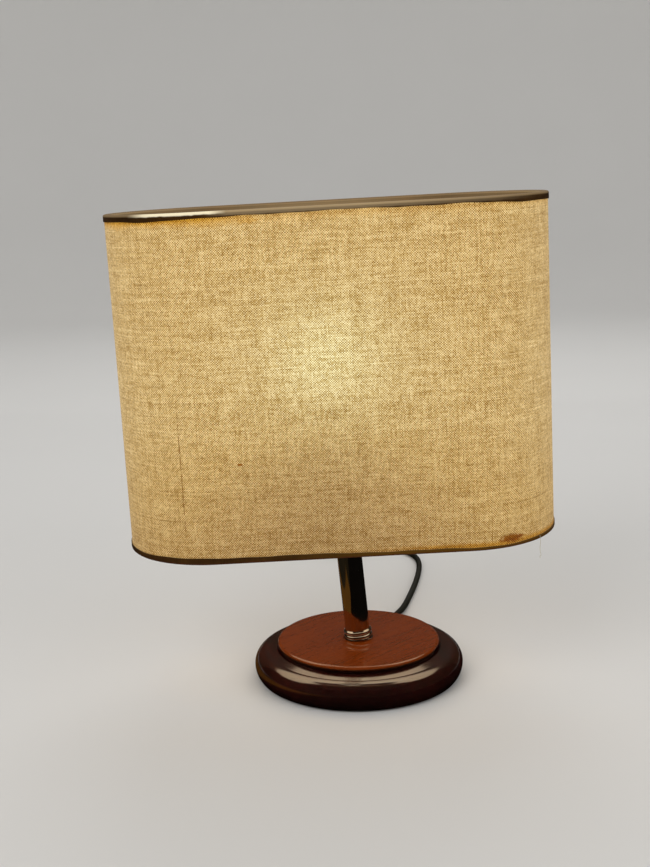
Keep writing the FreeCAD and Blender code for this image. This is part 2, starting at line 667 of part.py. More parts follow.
# each arm runs out from the fitter ring and down onto the bottom wire's long side
def make_arm(side, front):
    reach = V(side * size("arm_spread"), front * size(wire_line), 0)
    out = V(reach.x, reach.y, 0).normalize()
    height = size("holder_seat + fitter_foot + fitter_thick / 2")
    edge = size("fitter_radius - 0.1")
    wire_top = size("trim_thick + wire_dia")
    points = [
        stem_frame.multVec(out * edge + V(0, 0, height)),
        stem_frame.multVec(out * (edge + size("arm_stub")) + V(0, 0, height)),
        shade_frame.multVec(reach + V(0, 0, wire_top + size("arm_stub"))),
        shade_frame.multVec(reach + V(0, 0, wire_top - 0.05)),
    ]
    return shaped("fitter_arm", tube_along(tube_path(points)[0], size("arm_dia / 2")))


# the cord inside the base and the stem

def make_inner_wiring():
    sheath = cylinder("cord_dia / 2", "exit_reach - sheath_end", "inner_cord")
    sheath.Label = "inner_cord"
    sheath.Placement = along_exit("sheath_end")
    across = V(exit_way.y, -exit_way.x, 0)
    leads = []
    for name, side in (("lead_live", 1), ("lead_neutral", -1)):
        spread = side * size("lead_spread")
        seat = size("holder_seat")
        rod_foot = stem_frame.multVec(V(spread, 0, -12))
        start = exit_way * size("sheath_end") + across * spread + V(0, 0, size("exit_height"))
        points = [
            start,
            V(rod_foot.x, 0, size("exit_height")),
            stem_frame.multVec(V(spread, 0, 10)),
            stem_frame.multVec(V(spread, -0.4, seat + 12)),
            stem_frame.multVec(V(side * size("terminal_reach - terminal_size / 2"), -1.4, seat + 12.2)),
        ]
        leads.append(tube(name, points, size("lead_dia / 2")))
    return [sheath] + leads


# the in-line switch

def racetrack_box(label, outer, straight, foot, tall):
    body = new_body(label)
    sketch = new_sketch(body, "XY_Plane", foot)
    draw_racetrack(sketch, outer, straight)
    extend(body, sketch, "Pad", tall)
    return body


# rounds the edges whose corners all lie in one plane across an axis of the body
def round_rim(body, axis, places, radius):
    doc.recompute()
    solid = body.Tip
    names = []
    for number, edge in enumerate(solid.Shape.Edges, start=1):
        ends = {round(getattr(vertex, axis), 4) for vertex in edge.Vertexes}
        if len(ends) == 1 and ends & {round(size(place), 4) for place in places}:
            names.append(f"Edge{number}")
    rounding = body.newObject("PartDesign::Fillet", f"{body.Name}_rounding")
    rounding.Base = (solid, names)
    bind(rounding, "Radius", radius)
    body.Tip = rounding


def make_switch():
    place = ("switch_across", "switch_back", "0")
    tray = racetrack_box("switch_tray", "switch_end", "switch_straight", "0", "switch_split")
    hollow = new_sketch(tray, "XY_Plane", "switch_split")
    draw_racetrack(hollow, "switch_end - switch_wall", "switch_straight")
    extend(tray, hollow, "Pocket", "switch_split - switch_wall")
    cover = racetrack_box("switch_lid", "switch_end", "switch_straight", "switch_split",
                          "switch_tall - switch_split")
    round_rim(cover, "Z", ["switch_tall"], "edge_round")
    hollow = new_sketch(cover, "XY_Plane", "switch_split")
    draw_racetrack(hollow, "switch_end - switch_wall", "switch_straight")
    extend(cover, hollow, "Pocket", "switch_tall - switch_split - switch_wall", True)
    window = new_sketch(cover, "XY_Plane", "switch_tall")
    half, wide = "window_half", "window_wide / 2"
    draw_outline(window, [(f"-{half}", f"-({wide})"), (half, f"-({wide})"), (half, wide),
                          (f"-{half}", wide)])
    extend(cover, window, "Pocket", "switch_wall + 1")
    put_at(tray, *place)
    put_at(cover, *place)
    tray_whole, cover_whole, screws = fit_posts(tray, cover)
    return [tray_whole, cover_whole, screws, make_rocker(), make_rocker_pin(), make_contacts()]


# two screws come up through the tray into posts that hang from the cover
def fit_posts(tray, cover):
    screws = []
    for side in (-1, 1):
        place = (f"switch_across + {side} * post_across", f"switch_back + {side} * post_side")
        bore, sink, post, core = (cylinder(*s) for s in (
            ("screw_radius + screw_play", "switch_split"), ("screw_head + 0.1", "1.6"),
            ("3.2", "switch_tall - 9.5"), ("screw_radius + slip", "5")))
        put_at(bore, *place, "0")
        put_at(sink, *place, "0")
        put_at(post, *place, "switch_split")
        put_at(core, *place, "switch_split")
        tray = combine("Cut", "tray_bored", combine("Cut", "tray_sunk", tray, sink), bore)
        cover = combine("Cut", "cover_bored", combine("Fuse", "cover_posted", cover, post), core)
        head = cylinder("screw_head", "screw_head_tall")
        shank = cylinder("screw_radius", "switch_split + 2.8")
        put_at(head, *place, "0.2")
        put_at(shank, *place, "0.2 + screw_head_tall")
        screws.append(combine("Fuse", "switch_screw", head, shank))
    tray.Label = "switch_base"
    cover.Label = "switch_cover"
    return tray, cover, grouped("switch_screws", screws)


def make_rocker():
    rocker = new_body("switch_rocker")
    profile = new_sketch(rocker, "XZ_Plane", "-rocker_wide / 2")
    end = "rocker_half"
    draw_outline(profile, [
        (f"-{end} + 0.5", "-1.5"), (f"{end} - 0.5", "-1.5"), (end, "4.3"), ("0", "5.5"),
        (f"-{end}", "4.3"),
    ])
    draw_circle(profile, "0", "0", "rocker_pin + rocker_fit")
    extend(rocker, profile, "Pad", "rocker_wide")
    rocker.Placement = FreeCAD.Placement(V(0, 0, 0), FreeCAD.Rotation(V(0, 1, 0), 1))
    bind(rocker, "Placement.Rotation.Angle", "rocker_tilt")
    for axis, value in zip("xyz", ("switch_across", "switch_back", "rocker_pivot")):
        bind(rocker, f"Placement.Base.{axis}", value)
    return rocker


def make_rocker_pin():
    pin = cylinder("rocker_pin", "2 * (switch_end - switch_wall)", "rocker_pin_rod")
    pin.Label = "rocker_pin"
    pin.Placement = FreeCAD.Placement(
        V(size("switch_across"), size("switch_back - switch_end + switch_wall"), size("rocker_pivot")),
        FreeCAD.Rotation(V(1, 0, 0), -90))
    return pin


def make_contacts():
    blades = []
    for side in (-1, 1):
        parts = []
        for long, tall in (("blade_long", "blade_thick"), ("blade_thick", "blade_tall")):
            leaf = doc.addObject("Part::Box", "blade_leaf")
            for edge, text in (("Length", long), ("Width", "blade_wide"), ("Height", tall)):
                bind(leaf, edge, text)
            put_at(leaf, f"switch_across + {side} * blade_across - {long} / 2",
                   "switch_back - blade_wide / 2", "switch_wall")
            parts.append(leaf)
        blades.append(combine("Fuse", "contact_blade", *parts))
    return grouped("switch_contacts", blades)


# the put-away coil: half turns that spiral in, one that climbs, and half turns that spiral out

def coil_path():
    steps = int(size("coil_half_turns"))
    pitch, outer = size("coil_pitch"), size("coil_outer")
    spiral = [outer - pitch / 2 * step for step in range(steps)]
    climb = outer - pitch / 2 * steps
    here = V(size("coil_across"), size("coil_back") - outer, size("coil_foot"))
    edges = []
    for step, radius in enumerate(spiral + [climb] + spiral[::-1]):
        ahead = V(-1, 0, 0) if step % 2 == 0 else V(1, 0, 0)
        aside = V(0, 1, 0) if step % 2 == 0 else V(0, -1, 0)
        rise = pitch if step == steps else 0
        there = here + aside * (2 * radius) + V(0, 0, rise)
        way = (there - here).normalize()
        reach = (there - here).Length / 2
        joint = (here + there) * 0.5 + ahead * reach
        for start, centre_way, end in ((here, ahead, joint), (joint, way, there)):
            centre = (here + there) * 0.5
            middle = centre + ((start - centre) + (end - centre)).normalize() * reach
            edges.append(Part.Arc(start, middle, end).toShape())
        here = there
    return Part.Wire(edges), here


def least_gap(wire, diameter, step=1.5):
    points = wire.discretize(Distance=step)
    far = int(2.5 * diameter / step)
    best = min((a - b).Length for i, a in enumerate(points) for b in points[i + far:])
    return best - diameter


def make_coil():
    wire, end = coil_path()
    diameter = size("cord_dia")
    shape = tube_along(wire, diameter / 2)
    expected = math.pi * diameter ** 2 / 4 * wire.Length
    print(f"cord_coil: {wire.Length:.1f} mm long, least gap to itself {least_gap(wire, diameter):.2f} mm, "
          f"volume over section times length {shape.Volume / expected:.4f}")
    return shaped("cord_coil", shape), end


def make_tie():
    tie = new_body("cord_tie")
    sketch = new_sketch(tie, "XZ_Plane", "-tie_wide / 2")
    draw_racetrack(sketch, "tie_outer", "coil_pitch", "coil_foot + coil_pitch / 2")
    draw_racetrack(sketch, "tie_inner", "coil_pitch", "coil_foot + coil_pitch / 2")
    extend(tie, sketch, "Pad", "tie_wide")
    put_at(tie, "coil_across + coil_outer - coil_pitch * 1.5", "coil_back", "0")
    return tie


def make_plug(start):
    tail = tube("cord_end", [start, start + V(size("plug_gap / 2"), 0.15, 0),
                             start + V(size("plug_gap"), 0, 0)], size("cord_dia / 2"))
    relief = turned("plug_strain_relief", [
        ("0", "0"), ("boot_tip + 0.1", "0"), ("boot_tip + 0.4", "4"), ("boot_radius - 1", "8"),
        ("boot_radius - 0.6", "12"), ("boot_radius", "15"), ("boot_radius + 1.2", "plug_relief"),
        ("0", "plug_relief"),
    ])
    relief.Placement = FreeCAD.Placement(
        start + V(size("plug_gap"), 0, 0), FreeCAD.Rotation(V(0, 0, 1), V(1, 0, 0)))
    body = new_body("plug_body")
    face = new_sketch(body, "YZ_Plane")
    draw_racetrack(face, "plug_half_tall", "plug_straight")
    extend(body, face, "Pad", "plug_long")
    round_rim(body, "X", ["0", "plug_long"], "edge_round")
    body.Placement.Base = start + V(size("plug_gap + plug_relief"), 0, 0)
    pins = []
    for side in (-1, 1):
        pin = cylinder("pin_radius", "pin_long")
        pin.Placement = FreeCAD.Placement(
            start + V(size("plug_gap + plug_relief + plug_long"), side * size("pin_apart / 2"), 0),
            FreeCAD.Rotation(V(0, 0, 1), V(1, 0, 0)))
        pins.append(pin)
    return [tail, relief, body, grouped("plug_pins", pins)]


def make_free_cord():
    radius = size("cord_dia / 2")
    coil, end = make_coil()
    return [tube("cord_run", run_route, radius), tube("cord_link", link_route, radius), coil,
            make_tie()] + make_plug(end)


def check(pieces):
    doc.recompute()
    for thing in doc.Objects:
        if {"Invalid", "Error"} & set(thing.State):
            raise SystemExit(f"{thing.Label} failed: {thing.State}")
    for piece in pieces:
        if piece.Shape.isNull() or not piece.Shape.isValid():
            raise SystemExit(f"{piece.Label} has no valid shape")
        if min(solid.Volume for solid in piece.Shape.Solids) <= 0:
            raise SystemExit(f"{piece.Label} has an empty solid")


def main():
    pieces = [make_lower_tier(), make_top_disc(), make_felt_pad(), make_strain_relief()]
    pieces += make_cord_clamp()
    pieces += make_stem()
    pieces += make_holder()
    pieces += make_bulb()
    pieces += make_shade()
    pieces += make_inner_wiring()
    pieces += make_switch()
    pieces += make_free_cord()
    check(pieces)
    os.makedirs("parts", exist_ok=True)
    for piece in pieces:
        piece.Shape.exportStep(f"parts/{piece.Label}.step")
    print(f"{len(pieces)} pieces written")


main()
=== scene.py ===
import math

import bpy
from mathutils import Matrix, Vector


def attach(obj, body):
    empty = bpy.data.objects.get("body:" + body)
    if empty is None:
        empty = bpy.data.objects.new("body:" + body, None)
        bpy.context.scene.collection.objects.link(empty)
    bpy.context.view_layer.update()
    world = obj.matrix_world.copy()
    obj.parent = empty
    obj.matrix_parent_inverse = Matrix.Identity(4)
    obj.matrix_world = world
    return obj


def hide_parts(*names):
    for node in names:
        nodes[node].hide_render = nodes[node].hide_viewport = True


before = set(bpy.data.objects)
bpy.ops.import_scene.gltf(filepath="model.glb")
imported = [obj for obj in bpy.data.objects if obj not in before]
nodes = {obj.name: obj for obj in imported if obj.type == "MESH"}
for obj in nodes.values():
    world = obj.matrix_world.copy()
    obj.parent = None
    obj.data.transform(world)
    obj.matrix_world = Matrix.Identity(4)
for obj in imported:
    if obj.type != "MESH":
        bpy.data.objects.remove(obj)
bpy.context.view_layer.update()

# where the tilted shade stands: the centre of its foot, in metres
shadeFrame = Matrix.Translation((-0.0121, 0, 0.1326)) @ Matrix.Rotation(math.radians(-1.79), 4, "Y")


# modelling helpers

def clearSelection():
    for thing in bpy.context.selected_objects:
        thing.select_set(False)


def pickUp(piece):
    clearSelection()
    piece.select_set(True)
    bpy.context.view_layer.objects.active = piece


# one vertex, extruded from point to point
def drawProfile(name, points):
    clearSelection()
    bpy.ops.mesh.primitive_plane_add(size=0.01)
    piece = bpy.context.active_object
    piece.name = piece.data.name = name
    bpy.ops.object.mode_set(mode="EDIT")
    bpy.ops.mesh.select_mode(type="VERT")
    bpy.ops.mesh.select_all(action="SELECT")
    bpy.ops.mesh.merge(type="CENTER")
    bpy.ops.transform.translate(value=Vector(points[0]))
    for here, there in zip(points, points[1:]):
        step = Vector(there) - Vector(here)
        bpy.ops.mesh.extrude_region_move(TRANSFORM_OT_translate={"value": step})
    return piece


def closeUp(piece, merge=1e-6):
    bpy.ops.mesh.select_all(action="SELECT")
    bpy.ops.mesh.remove_doubles(threshold=merge)
    bpy.ops.mesh.normals_make_consistent(inside=False)
    bpy.ops.object.mode_set(mode="OBJECT")
    return piece


# a profile in the YZ plane, carried round the shade's outline: two half turns joined by straights
def carryRound(name, points, straight, steps=48, spans=40):
    moved = [(-straight, y, z) for y, z in points]
    piece = drawProfile(name, moved)
    bpy.ops.mesh.select_all(action="SELECT")
    for side in (1, -1):
        for _ in range(spans):
            bpy.ops.mesh.extrude_region_move(
                TRANSFORM_OT_translate={"value": (side * 2 * straight / spans, 0, 0)})
        bpy.ops.mesh.spin(
            steps=steps, angle=-math.pi, center=(side * straight, 0, 0), axis=(0, 0, 1))
    return closeUp(piece, merge=1e-5)


def settle(piece, place, smoothAngle=math.radians(35)):
    pickUp(piece)
    piece.matrix_world = place
    bpy.ops.object.transform_apply(location=True, rotation=True, scale=True)
    bpy.ops.object.shade_smooth_by_angle(angle=smoothAngle)
    return piece


def applyModifier(piece, kind, **settings):
    pickUp(piece)
    modifier = piece.modifiers.new(kind.lower(), kind)
    for name, value in settings.items():
        setattr(modifier, name, value)
    bpy.ops.object.modifier_apply(modifier=modifier.name)


# material helpers

def startMaterial(name, values):
    material = bpy.data.materials.new(name)
    material.use_nodes = True
    shader = material.node_tree.nodes["Principled BSDF"]
    for socket, value in values.items():
        shader.inputs[socket].default_value = value
    return material, material.node_tree, shader


def put(tree, kind, inputs, **settings):
    made = tree.nodes.new("ShaderNode" + kind)
    for name, value in settings.items():
        setattr(made, name, value)
    for name, value in inputs.items():
        if isinstance(value, bpy.types.NodeSocket):
            tree.links.new(value, made.inputs[name])
        else:
            made.inputs[name].default_value = value
    return made


def maths(tree, operation, first, second=0.0, third=0.0):
    return put(tree, "Math", {0: first, 1: second, 2: third}, operation=operation).outputs[0]


def objectPlace(tree):
    return put(tree, "TexCoord", {}).outputs["Object"]


def clothPlace(tree):
    return put(tree, "UVMap", {}, uv_map="cloth").outputs[0]


def stretched(tree, vector, scale, location=(0, 0, 0)):
    return put(tree, "Mapping", {
        "Vector": vector, "Scale": scale, "Location": location}).outputs[0]


def split(tree, vector):
    return put(tree, "SeparateXYZ", {"Vector": vector}).outputs


def joined(tree, x=0.0, y=0.0):
    return put(tree, "CombineXYZ", {"X": x, "Y": y}).outputs[0]


def apart(tree, first, second):
    return put(tree, "VectorMath", {0: first, 1: second}, operation="SUBTRACT").outputs[0]


def lengthOf(tree, vector):
    return put(tree, "VectorMath", {0: vector}, operation="LENGTH").outputs["Value"]


def noise(tree, vector, scale=1.0, detail=3.0, roughness=0.5):
    return put(tree, "TexNoise", {
        "Vector": vector, "Scale": scale, "Detail": detail, "Roughness": roughness}).outputs["Fac"]


def scatter(tree, x=0.0, y=0.0):
    return put(tree, "TexWhiteNoise", {
        "Vector": joined(tree, x, y)}, noise_dimensions="2D").outputs["Value"]


def ramp(tree, factor, stops):
    made = put(tree, "ValToRGB", {"Fac": factor})
    elements = made.color_ramp.elements
    while len(elements) < len(stops):
        elements.new(0.5)
    for element, (place, colour) in zip(elements, stops):
        element.position = place
        element.color = (*colour, 1)
    return made.outputs["Color"]


def spread(tree, value, low, high, newLow=0.0, newHigh=1.0):
    return put(tree, "MapRange", {
        "Value": value, "From Min": low, "From Max": high, "To Min": newLow,
        "To Max": newHigh}).outputs["Result"]


def blendColours(tree, factor, first, second, kind="MIX"):
    made = put(tree, "Mix", {}, data_type="RGBA", blend_type=kind)
    for index, value in ((0, factor), (6, first), (7, second)):
        if isinstance(value, bpy.types.NodeSocket):
            tree.links.new(value, made.inputs[index])
        else:
            made.inputs[index].default_value = value if index == 0 else (*value, 1)
    return made.outputs[2]


def multiplied(tree, first, second):
    return blendColours(tree, 1.0, first, second, "MULTIPLY")


def dimmed(tree, colour, level):
    return multiplied(tree, colour, put(
        tree, "CombineColor", {0: level, 1: level, 2: level}).outputs[0])


def toned(colour, share):
    return [min(1.0, part * share) for part in colour]


def feed(tree, shader, sources):
    for socket, source in sources.items():
        tree.links.new(source, shader.inputs[socket])


def addBump(tree, shader, height, strength, distance):
    bump = put(tree, "Bump", {"Height": height, "Strength": strength, "Distance": distance})
    feed(tree, shader, {"Normal": bump.outputs["Normal"]})


def wear(material, *names):
    for name in names:
        piece = nodes[name] if isinstance(name, str) else name
        piece.data.materials.clear()
        piece.data.materials.append(material)


# the camera, as it stood for the photograph

camera = {
    "place": (-0.0259, -1.0897, 0.45), "lens": 52.99, "sensor": 36.0,
    "downward": math.radians(11.849), "roll": math.radians(-1.333),
}


def setCamera(values):
    data = bpy.data.cameras.new("photoCamera")
    data.lens = values["lens"]
    data.sensor_width = values["sensor"]
    eye = bpy.data.objects.new("photoCamera", data)
    bpy.context.scene.collection.objects.link(eye)
    tilt = Matrix.Rotation(math.pi / 2 - values["downward"], 4, "X")
    roll = Matrix.Rotation(values["roll"], 4, "Z")
    eye.matrix_world = Matrix.Translation(values["place"]) @ tilt @ roll
    bpy.context.scene.camera = eye


setCamera(camera)
print("camera set")


# the mains cord: one spline from the boot through the switch to the coil and the plug

cord = {
    "diameter": 0.006,
    "run": [
        (0.03708, 0.11413, 0.0080), (0.0417, 0.1284, 0.0073), (0.0472, 0.1456, 0.0049),
        (0.0526, 0.1655, 0.0032), (0.0586, 0.1905, 0.0031), (0.0656, 0.2210, 0.0031),
        (0.0716, 0.2520, 0.0031), (0.0764, 0.2830, 0.0031), (0.0786, 0.3120, 0.0031),
        (0.0756, 0.3350, 0.0031), (0.0665, 0.3530, 0.0033), (0.0525, 0.3645, 0.0044),
        (0.0345, 0.3695, 0.0068), (0.0185, 0.3695, 0.0080)],
    "link": [
        (-0.0435, 0.3695, 0.0080), (-0.0580, 0.3695, 0.0070), (-0.0740, 0.3663, 0.0052),
        (-0.0900, 0.3620, 0.0042)],
    "coilStart": (-0.105, 0.362, 0.0042), "coilOuter": 0.044, "pitch": 0.0065, "halfTurns": 6,
    "pointsPerHalf": 12, "end": 0.025, "endShares": (0.1, 0.5, 1.0),
}


# half turns that spiral in, one that climbs a layer, and half turns that spiral out
def coilPoints(values):
    pitch, count = values["pitch"], values["halfTurns"]
    inward = [values["coilOuter"] - pitch / 2 * step for step in range(count)]
    climb = values["coilOuter"] - pitch / 2 * count
    here = Vector(values["coilStart"])
    points = []
    for step, radius in enumerate(inward + [climb] + inward[::-1]):
        side = 1 if step % 2 == 0 else -1
        rise = pitch if step == count else 0
        centre = here + Vector((0, side * radius, rise / 2))
        for part in range(values["pointsPerHalf"]):
            turn = math.pi * (part + 0.5) / values["pointsPerHalf"]
            points.append(centre + Vector((
                -side * radius * math.sin(turn), -side * radius * math.cos(turn),
                -rise / 2 * math.cos(turn))))
        here = here + Vector((0, 2 * side * radius, rise))
    return points, here


def makeCord(values):
    turns, end = coilPoints(values)
    points = values["run"] + values["link"] + turns
    points += [end + Vector((values["end"] * share, 0, 0)) for share in values["endShares"]]
    curve = bpy.data.curves.new("mainsCord", "CURVE")
    curve.dimensions = "3D"
    curve.resolution_u = 6
    curve.bevel_depth = 1.0  # each point's own radius is the cord's, so the curve's box is true
    curve.bevel_resolution = 4
    curve.use_fill_caps = True
    spline = curve.splines.new("NURBS")
    spline.points.add(len(points) - 1)
    for knot, point in zip(spline.points, points):
        knot.co = (*point, 1)
        knot.radius = values["diameter"] / 2
    spline.order_u = 3
    spline.use_endpoint_u = True
    piece = bpy.data.objects.new("mainsCord", curve)
    bpy.context.scene.collection.objects.link(piece)
    return piece


mainsCord = makeCord(cord)
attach(mainsCord, "base")
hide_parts("cord_run", "cord_link", "cord_coil", "cord_end")
print("cord laid")


# the linen cover, glued round the liner, its joint at the back

linen = {
    "end": 0.0799, "straight": 0.106, "foot": 0.0009, "top": 0.2867, "thick": 0.0007, "rows": 36,
}


def roundOutline(x, y, straight, end, sideOfJoint):
    if abs(x) <= straight:
        if y < 0:
            return x
        return sideOfJoint * (straight + math.pi * end + straight - sideOfJoint * x)
    side = math.copysign(1, x)
    return side * (straight + end * (math.atan2(y, abs(x) - straight) + math.pi / 2))


# lays the cloth flat: metres round the outline, and metres up
def layFlat(piece, straight, end):
    mesh = piece.data
    layer = mesh.uv_layers.new(name="cloth")
    for face in mesh.polygons:
        middle = face.center
        for loop in face.loop_indices:
            place = mesh.vertices[mesh.loops[loop].vertex_index].co
            layer.data[loop].uv = (
                roundOutline(place.x, place.y, straight, end, math.copysign(1, middle.x)), place.z)


def makeLinen(values):
    step = (values["top"] - values["foot"]) / values["rows"]
    middle = values["end"] - values["thick"] / 2
    column = [(-middle, values["foot"] + step * row) for row in range(values["rows"] + 1)]
    piece = carryRound("shadeLinen", column, values["straight"])
    layFlat(piece, values["straight"], values["end"])
    applyModifier(piece, "SOLIDIFY", thickness=values["thick"], offset=0)
    return settle(piece, shadeFrame)


shadeLinen = makeLinen(linen)
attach(shadeLinen, "shade")
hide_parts("shade_fabric")
print("linen on")


# the ribbon that binds each rim, folded over the cover's edge and the wire

tape = {
    "end": 0.0804, "inside": 0.0744, "bottomTall": 0.0054, "topTall": 0.0062, "tall": 0.2876,
    "thick": 0.0006, "straight": 0.106, "corner": 0.0012, "outerBend": 0.45, "innerTall": 0.75,
    # how far the glued edge strays towards the rim, by its place along the near side
    "topStray": [
        (-0.20, 0.0004), (-0.15, 0.0001), (-0.139, 0.0002), (-0.115, 0.0013), (-0.090, 0.0010),
        (-0.067, 0.0016), (-0.020, 0.0022), (0.011, 0.0023), (0.045, 0.0017), (0.080, 0.0019),
        (0.112, 0.0020), (0.130, 0.0009), (0.155, 0.0001), (0.20, 0.0006)],
    "footStray": [
        (-0.20, 0.0004), (-0.13, -0.0003), (-0.067, 0.0), (-0.030, 0.0003), (0.011, 0.0009),
        (0.045, 0.0015), (0.080, 0.0019), (0.112, 0.0022), (0.155, 0.0023), (0.20, 0.0010)],
    "farShare": 0.5, "outerFrom": 0.079, "wave": 0.0003, "waveTurns": 61, "ripple": 0.0002,
    "rippleTurns": 187,
}


# outer leg, web over the rim and inner leg, rounded where the ribbon folds
def tapeProfile(values, legTall):
    outer, inner, corner = values["end"], values["inside"], values["corner"]
    edge = values["thick"] / 2
    points = [(outer, legTall), (outer, legTall * values["outerBend"])]
    for middle, start in ((outer - corner, 0.0), (inner + corner, 90.0)):
        for turn in range(0, 91, 30):
            angle = math.radians(start + turn)
            points.append((
                middle + corner * math.cos(angle), edge + corner - corner * math.sin(angle)))
    points.append((inner, legTall * values["innerTall"]))
    return points


def strayAt(table, along):
    for (here, low), (there, high) in zip(table, table[1:]):
        if here <= along <= there:
            return low + (high - low) * (along - here) / (there - here)
    return table[0][1] if along < table[0][0] else table[-1][1]


# the outer edge wanders as a hand-glued ribbon's does
def strayEdge(piece, values, edgeHeight, table, towardsRim):
    for vertex in piece.data.vertices:
        place = vertex.co
        onEdge = abs(place.z - edgeHeight) < 1e-5
        reach = math.hypot(max(abs(place.x) - values["straight"], 0), place.y)
        if onEdge and reach > values["outerFrom"]:
            share = 1.0 if place.y < 0 else values["farShare"]
            wave = values["wave"] * math.sin(place.x * values["waveTurns"])
            wave += values["ripple"] * math.sin(place.x * values["rippleTurns"] + 1)
            place.z += towardsRim * (share * strayAt(table, place.x) + wave)


def makeTape(name, values, legTall, onTop):
    points = tapeProfile(values, legTall)
    if onTop:
        points = [(out, values["tall"] - up) for out, up in points]
    piece = carryRound(name, [(-out, up) for out, up in points], values["straight"])
    table, towardsRim = (values["topStray"], 1) if onTop else (values["footStray"], -1)
    strayEdge(piece, values, points[0][1], table, towardsRim)
    layFlat(piece, values["straight"], values["end"])
    applyModifier(piece, "SOLIDIFY", thickness=values["thick"], offset=0)
    return settle(piece, shadeFrame)


topTape = makeTape("topTape", tape, tape["topTall"], True)
bottomTape = makeTape("bottomTape", tape, tape["bottomTall"], False)
for piece, node, wide in ((topTape, "top_trim", 0.0165), (bottomTape, "bottom_trim", 0.0152)):
    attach(piece, "shade")
    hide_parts(node)
print("rims bound")


# raised marks on the rocker: a bar on its high half and a ring on its pressed half

rockerMarks = {
    "bar": (-0.0163, 0.3695, 0.01950), "barSize": (0.0008, 0.0038, 0.0004), "barRound": 0.00015,
    "ring": (-0.0074, 0.3695, 0.01825), "ringRadius": 0.0017, "ringThick": 0.0004, "ringFlat": 0.5,
    "ringTilt": math.radians(15.7),
}


def makeRockerBar(values):
    clearSelection()
    bpy.ops.mesh.primitive_cube_add(size=1)
    piece = bpy.context.active_object
    piece.name = piece.data.name = "rockerBar"
    piece.scale = values["barSize"]
    bpy.ops.object.transform_apply(location=False, rotation=False, scale=True)
    applyModifier(piece, "BEVEL", width=values["barRound"], segments=2)
    return settle(piece, Matrix.Translation(values["bar"]))


def makeRockerRing(values):
    clearSelection()
    bpy.ops.mesh.primitive_torus_add(
        major_radius=values["ringRadius"], minor_radius=values["ringThick"], major_segments=40,
        minor_segments=10)
    piece = bpy.context.active_object
    piece.name = piece.data.name = "rockerRing"
    bpy.ops.object.mode_set(mode="EDIT")
    bpy.ops.mesh.select_all(action="SELECT")
    bpy.ops.transform.resize(value=(1, 1, values["ringFlat"]))
    closeUp(piece)
    return settle(piece, Matrix.Translation(values["ring"]) @ Matrix.Rotation(
        values["ringTilt"], 4, "Y"))


rockerBar, rockerRing = makeRockerBar(rockerMarks), makeRockerRing(rockerMarks)
for piece in (rockerBar, rockerRing):
    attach(piece, "rocker")
print("rocker marked")


# a frayed end of thread that hangs from the foot tape

looseThread = {
    "across": 0.1655, "front": -0.0560, "radius": 0.00016,
    "fall": [
        (0, 0, 0.0035), (0.0004, -0.0004, 0.0), (0.0002, -0.0003, -0.004), (-0.0003, 0, -0.008),
        (-0.0001, 0.0002, -0.0115), (0.0006, 0.0002, -0.0135), (0.0002, -0.0002, -0.0150),
        (-0.0006, 0.0, -0.0140), (-0.0002, 0.0002, -0.0165)],
}


def makeLooseThread(values):
    curve = bpy.data.curves.new("looseThread", "CURVE")
    curve.dimensions = "3D"
    curve.resolution_u = 4
    curve.bevel_depth = values["radius"]
    curve.bevel_resolution = 1
    spline = curve.splines.new("NURBS")
    spline.points.add(len(values["fall"]) - 1)
    for knot, (x, y, z) in zip(spline.points, values["fall"]):
        knot.co = (values["across"] + x, values["front"] + y, z, 1)
    spline.order_u = 3
    spline.use_endpoint_u = True
    piece = bpy.data.objects.new("looseThread", curve)
    bpy.context.scene.collection.objects.link(piece)
    pickUp(piece)
    bpy.ops.object.convert(target="MESH")
    return settle(piece, shadeFrame)


frayedThread = makeLooseThread(looseThread)
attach(frayedThread, "shade")


# cloth materials

# shades by the weave's level, from its darkest threads to where most light comes through
linenLook = {
    "shader": {"Roughness": 0.88, "Specular IOR Level": 0.15, "Sheen Weight": 0.12,
               "Sheen Roughness": 0.5, "Emission Strength": 1.0},
    "shades": [(0.0, (0.36, 0.24, 0.07)), (0.25, (0.72, 0.60, 0.38)), (0.5, (1.02, 1.0, 0.92)),
               (0.75, (1.30, 1.40, 1.65)), (1.0, (1.60, 1.85, 2.6))],
    "body": (0.34, 0.22, 0.078),
}

weave = {
    "pitch": 0.00100, "depth": 0.62, "wander": 2.0, "warpDrift": (30, 8, 1), "weftSway": (8, 30, 1),
    "warpApart": 7.31, "alongWarp": 0.07, "weftApart": 5.17, "alongWeft": 0.05,
    "cloudScale": (70, 70, 1), "cloudDetail": 4.0, "cloudRoughness": 0.6,
    # how much each kind of unevenness counts
    "warpSlubs": 0.45, "weftSlubs": 0.55, "clouds": 0.45, "crossings": 0.45, "warpTones": 0.12,
    "weftTones": 0.16,
}

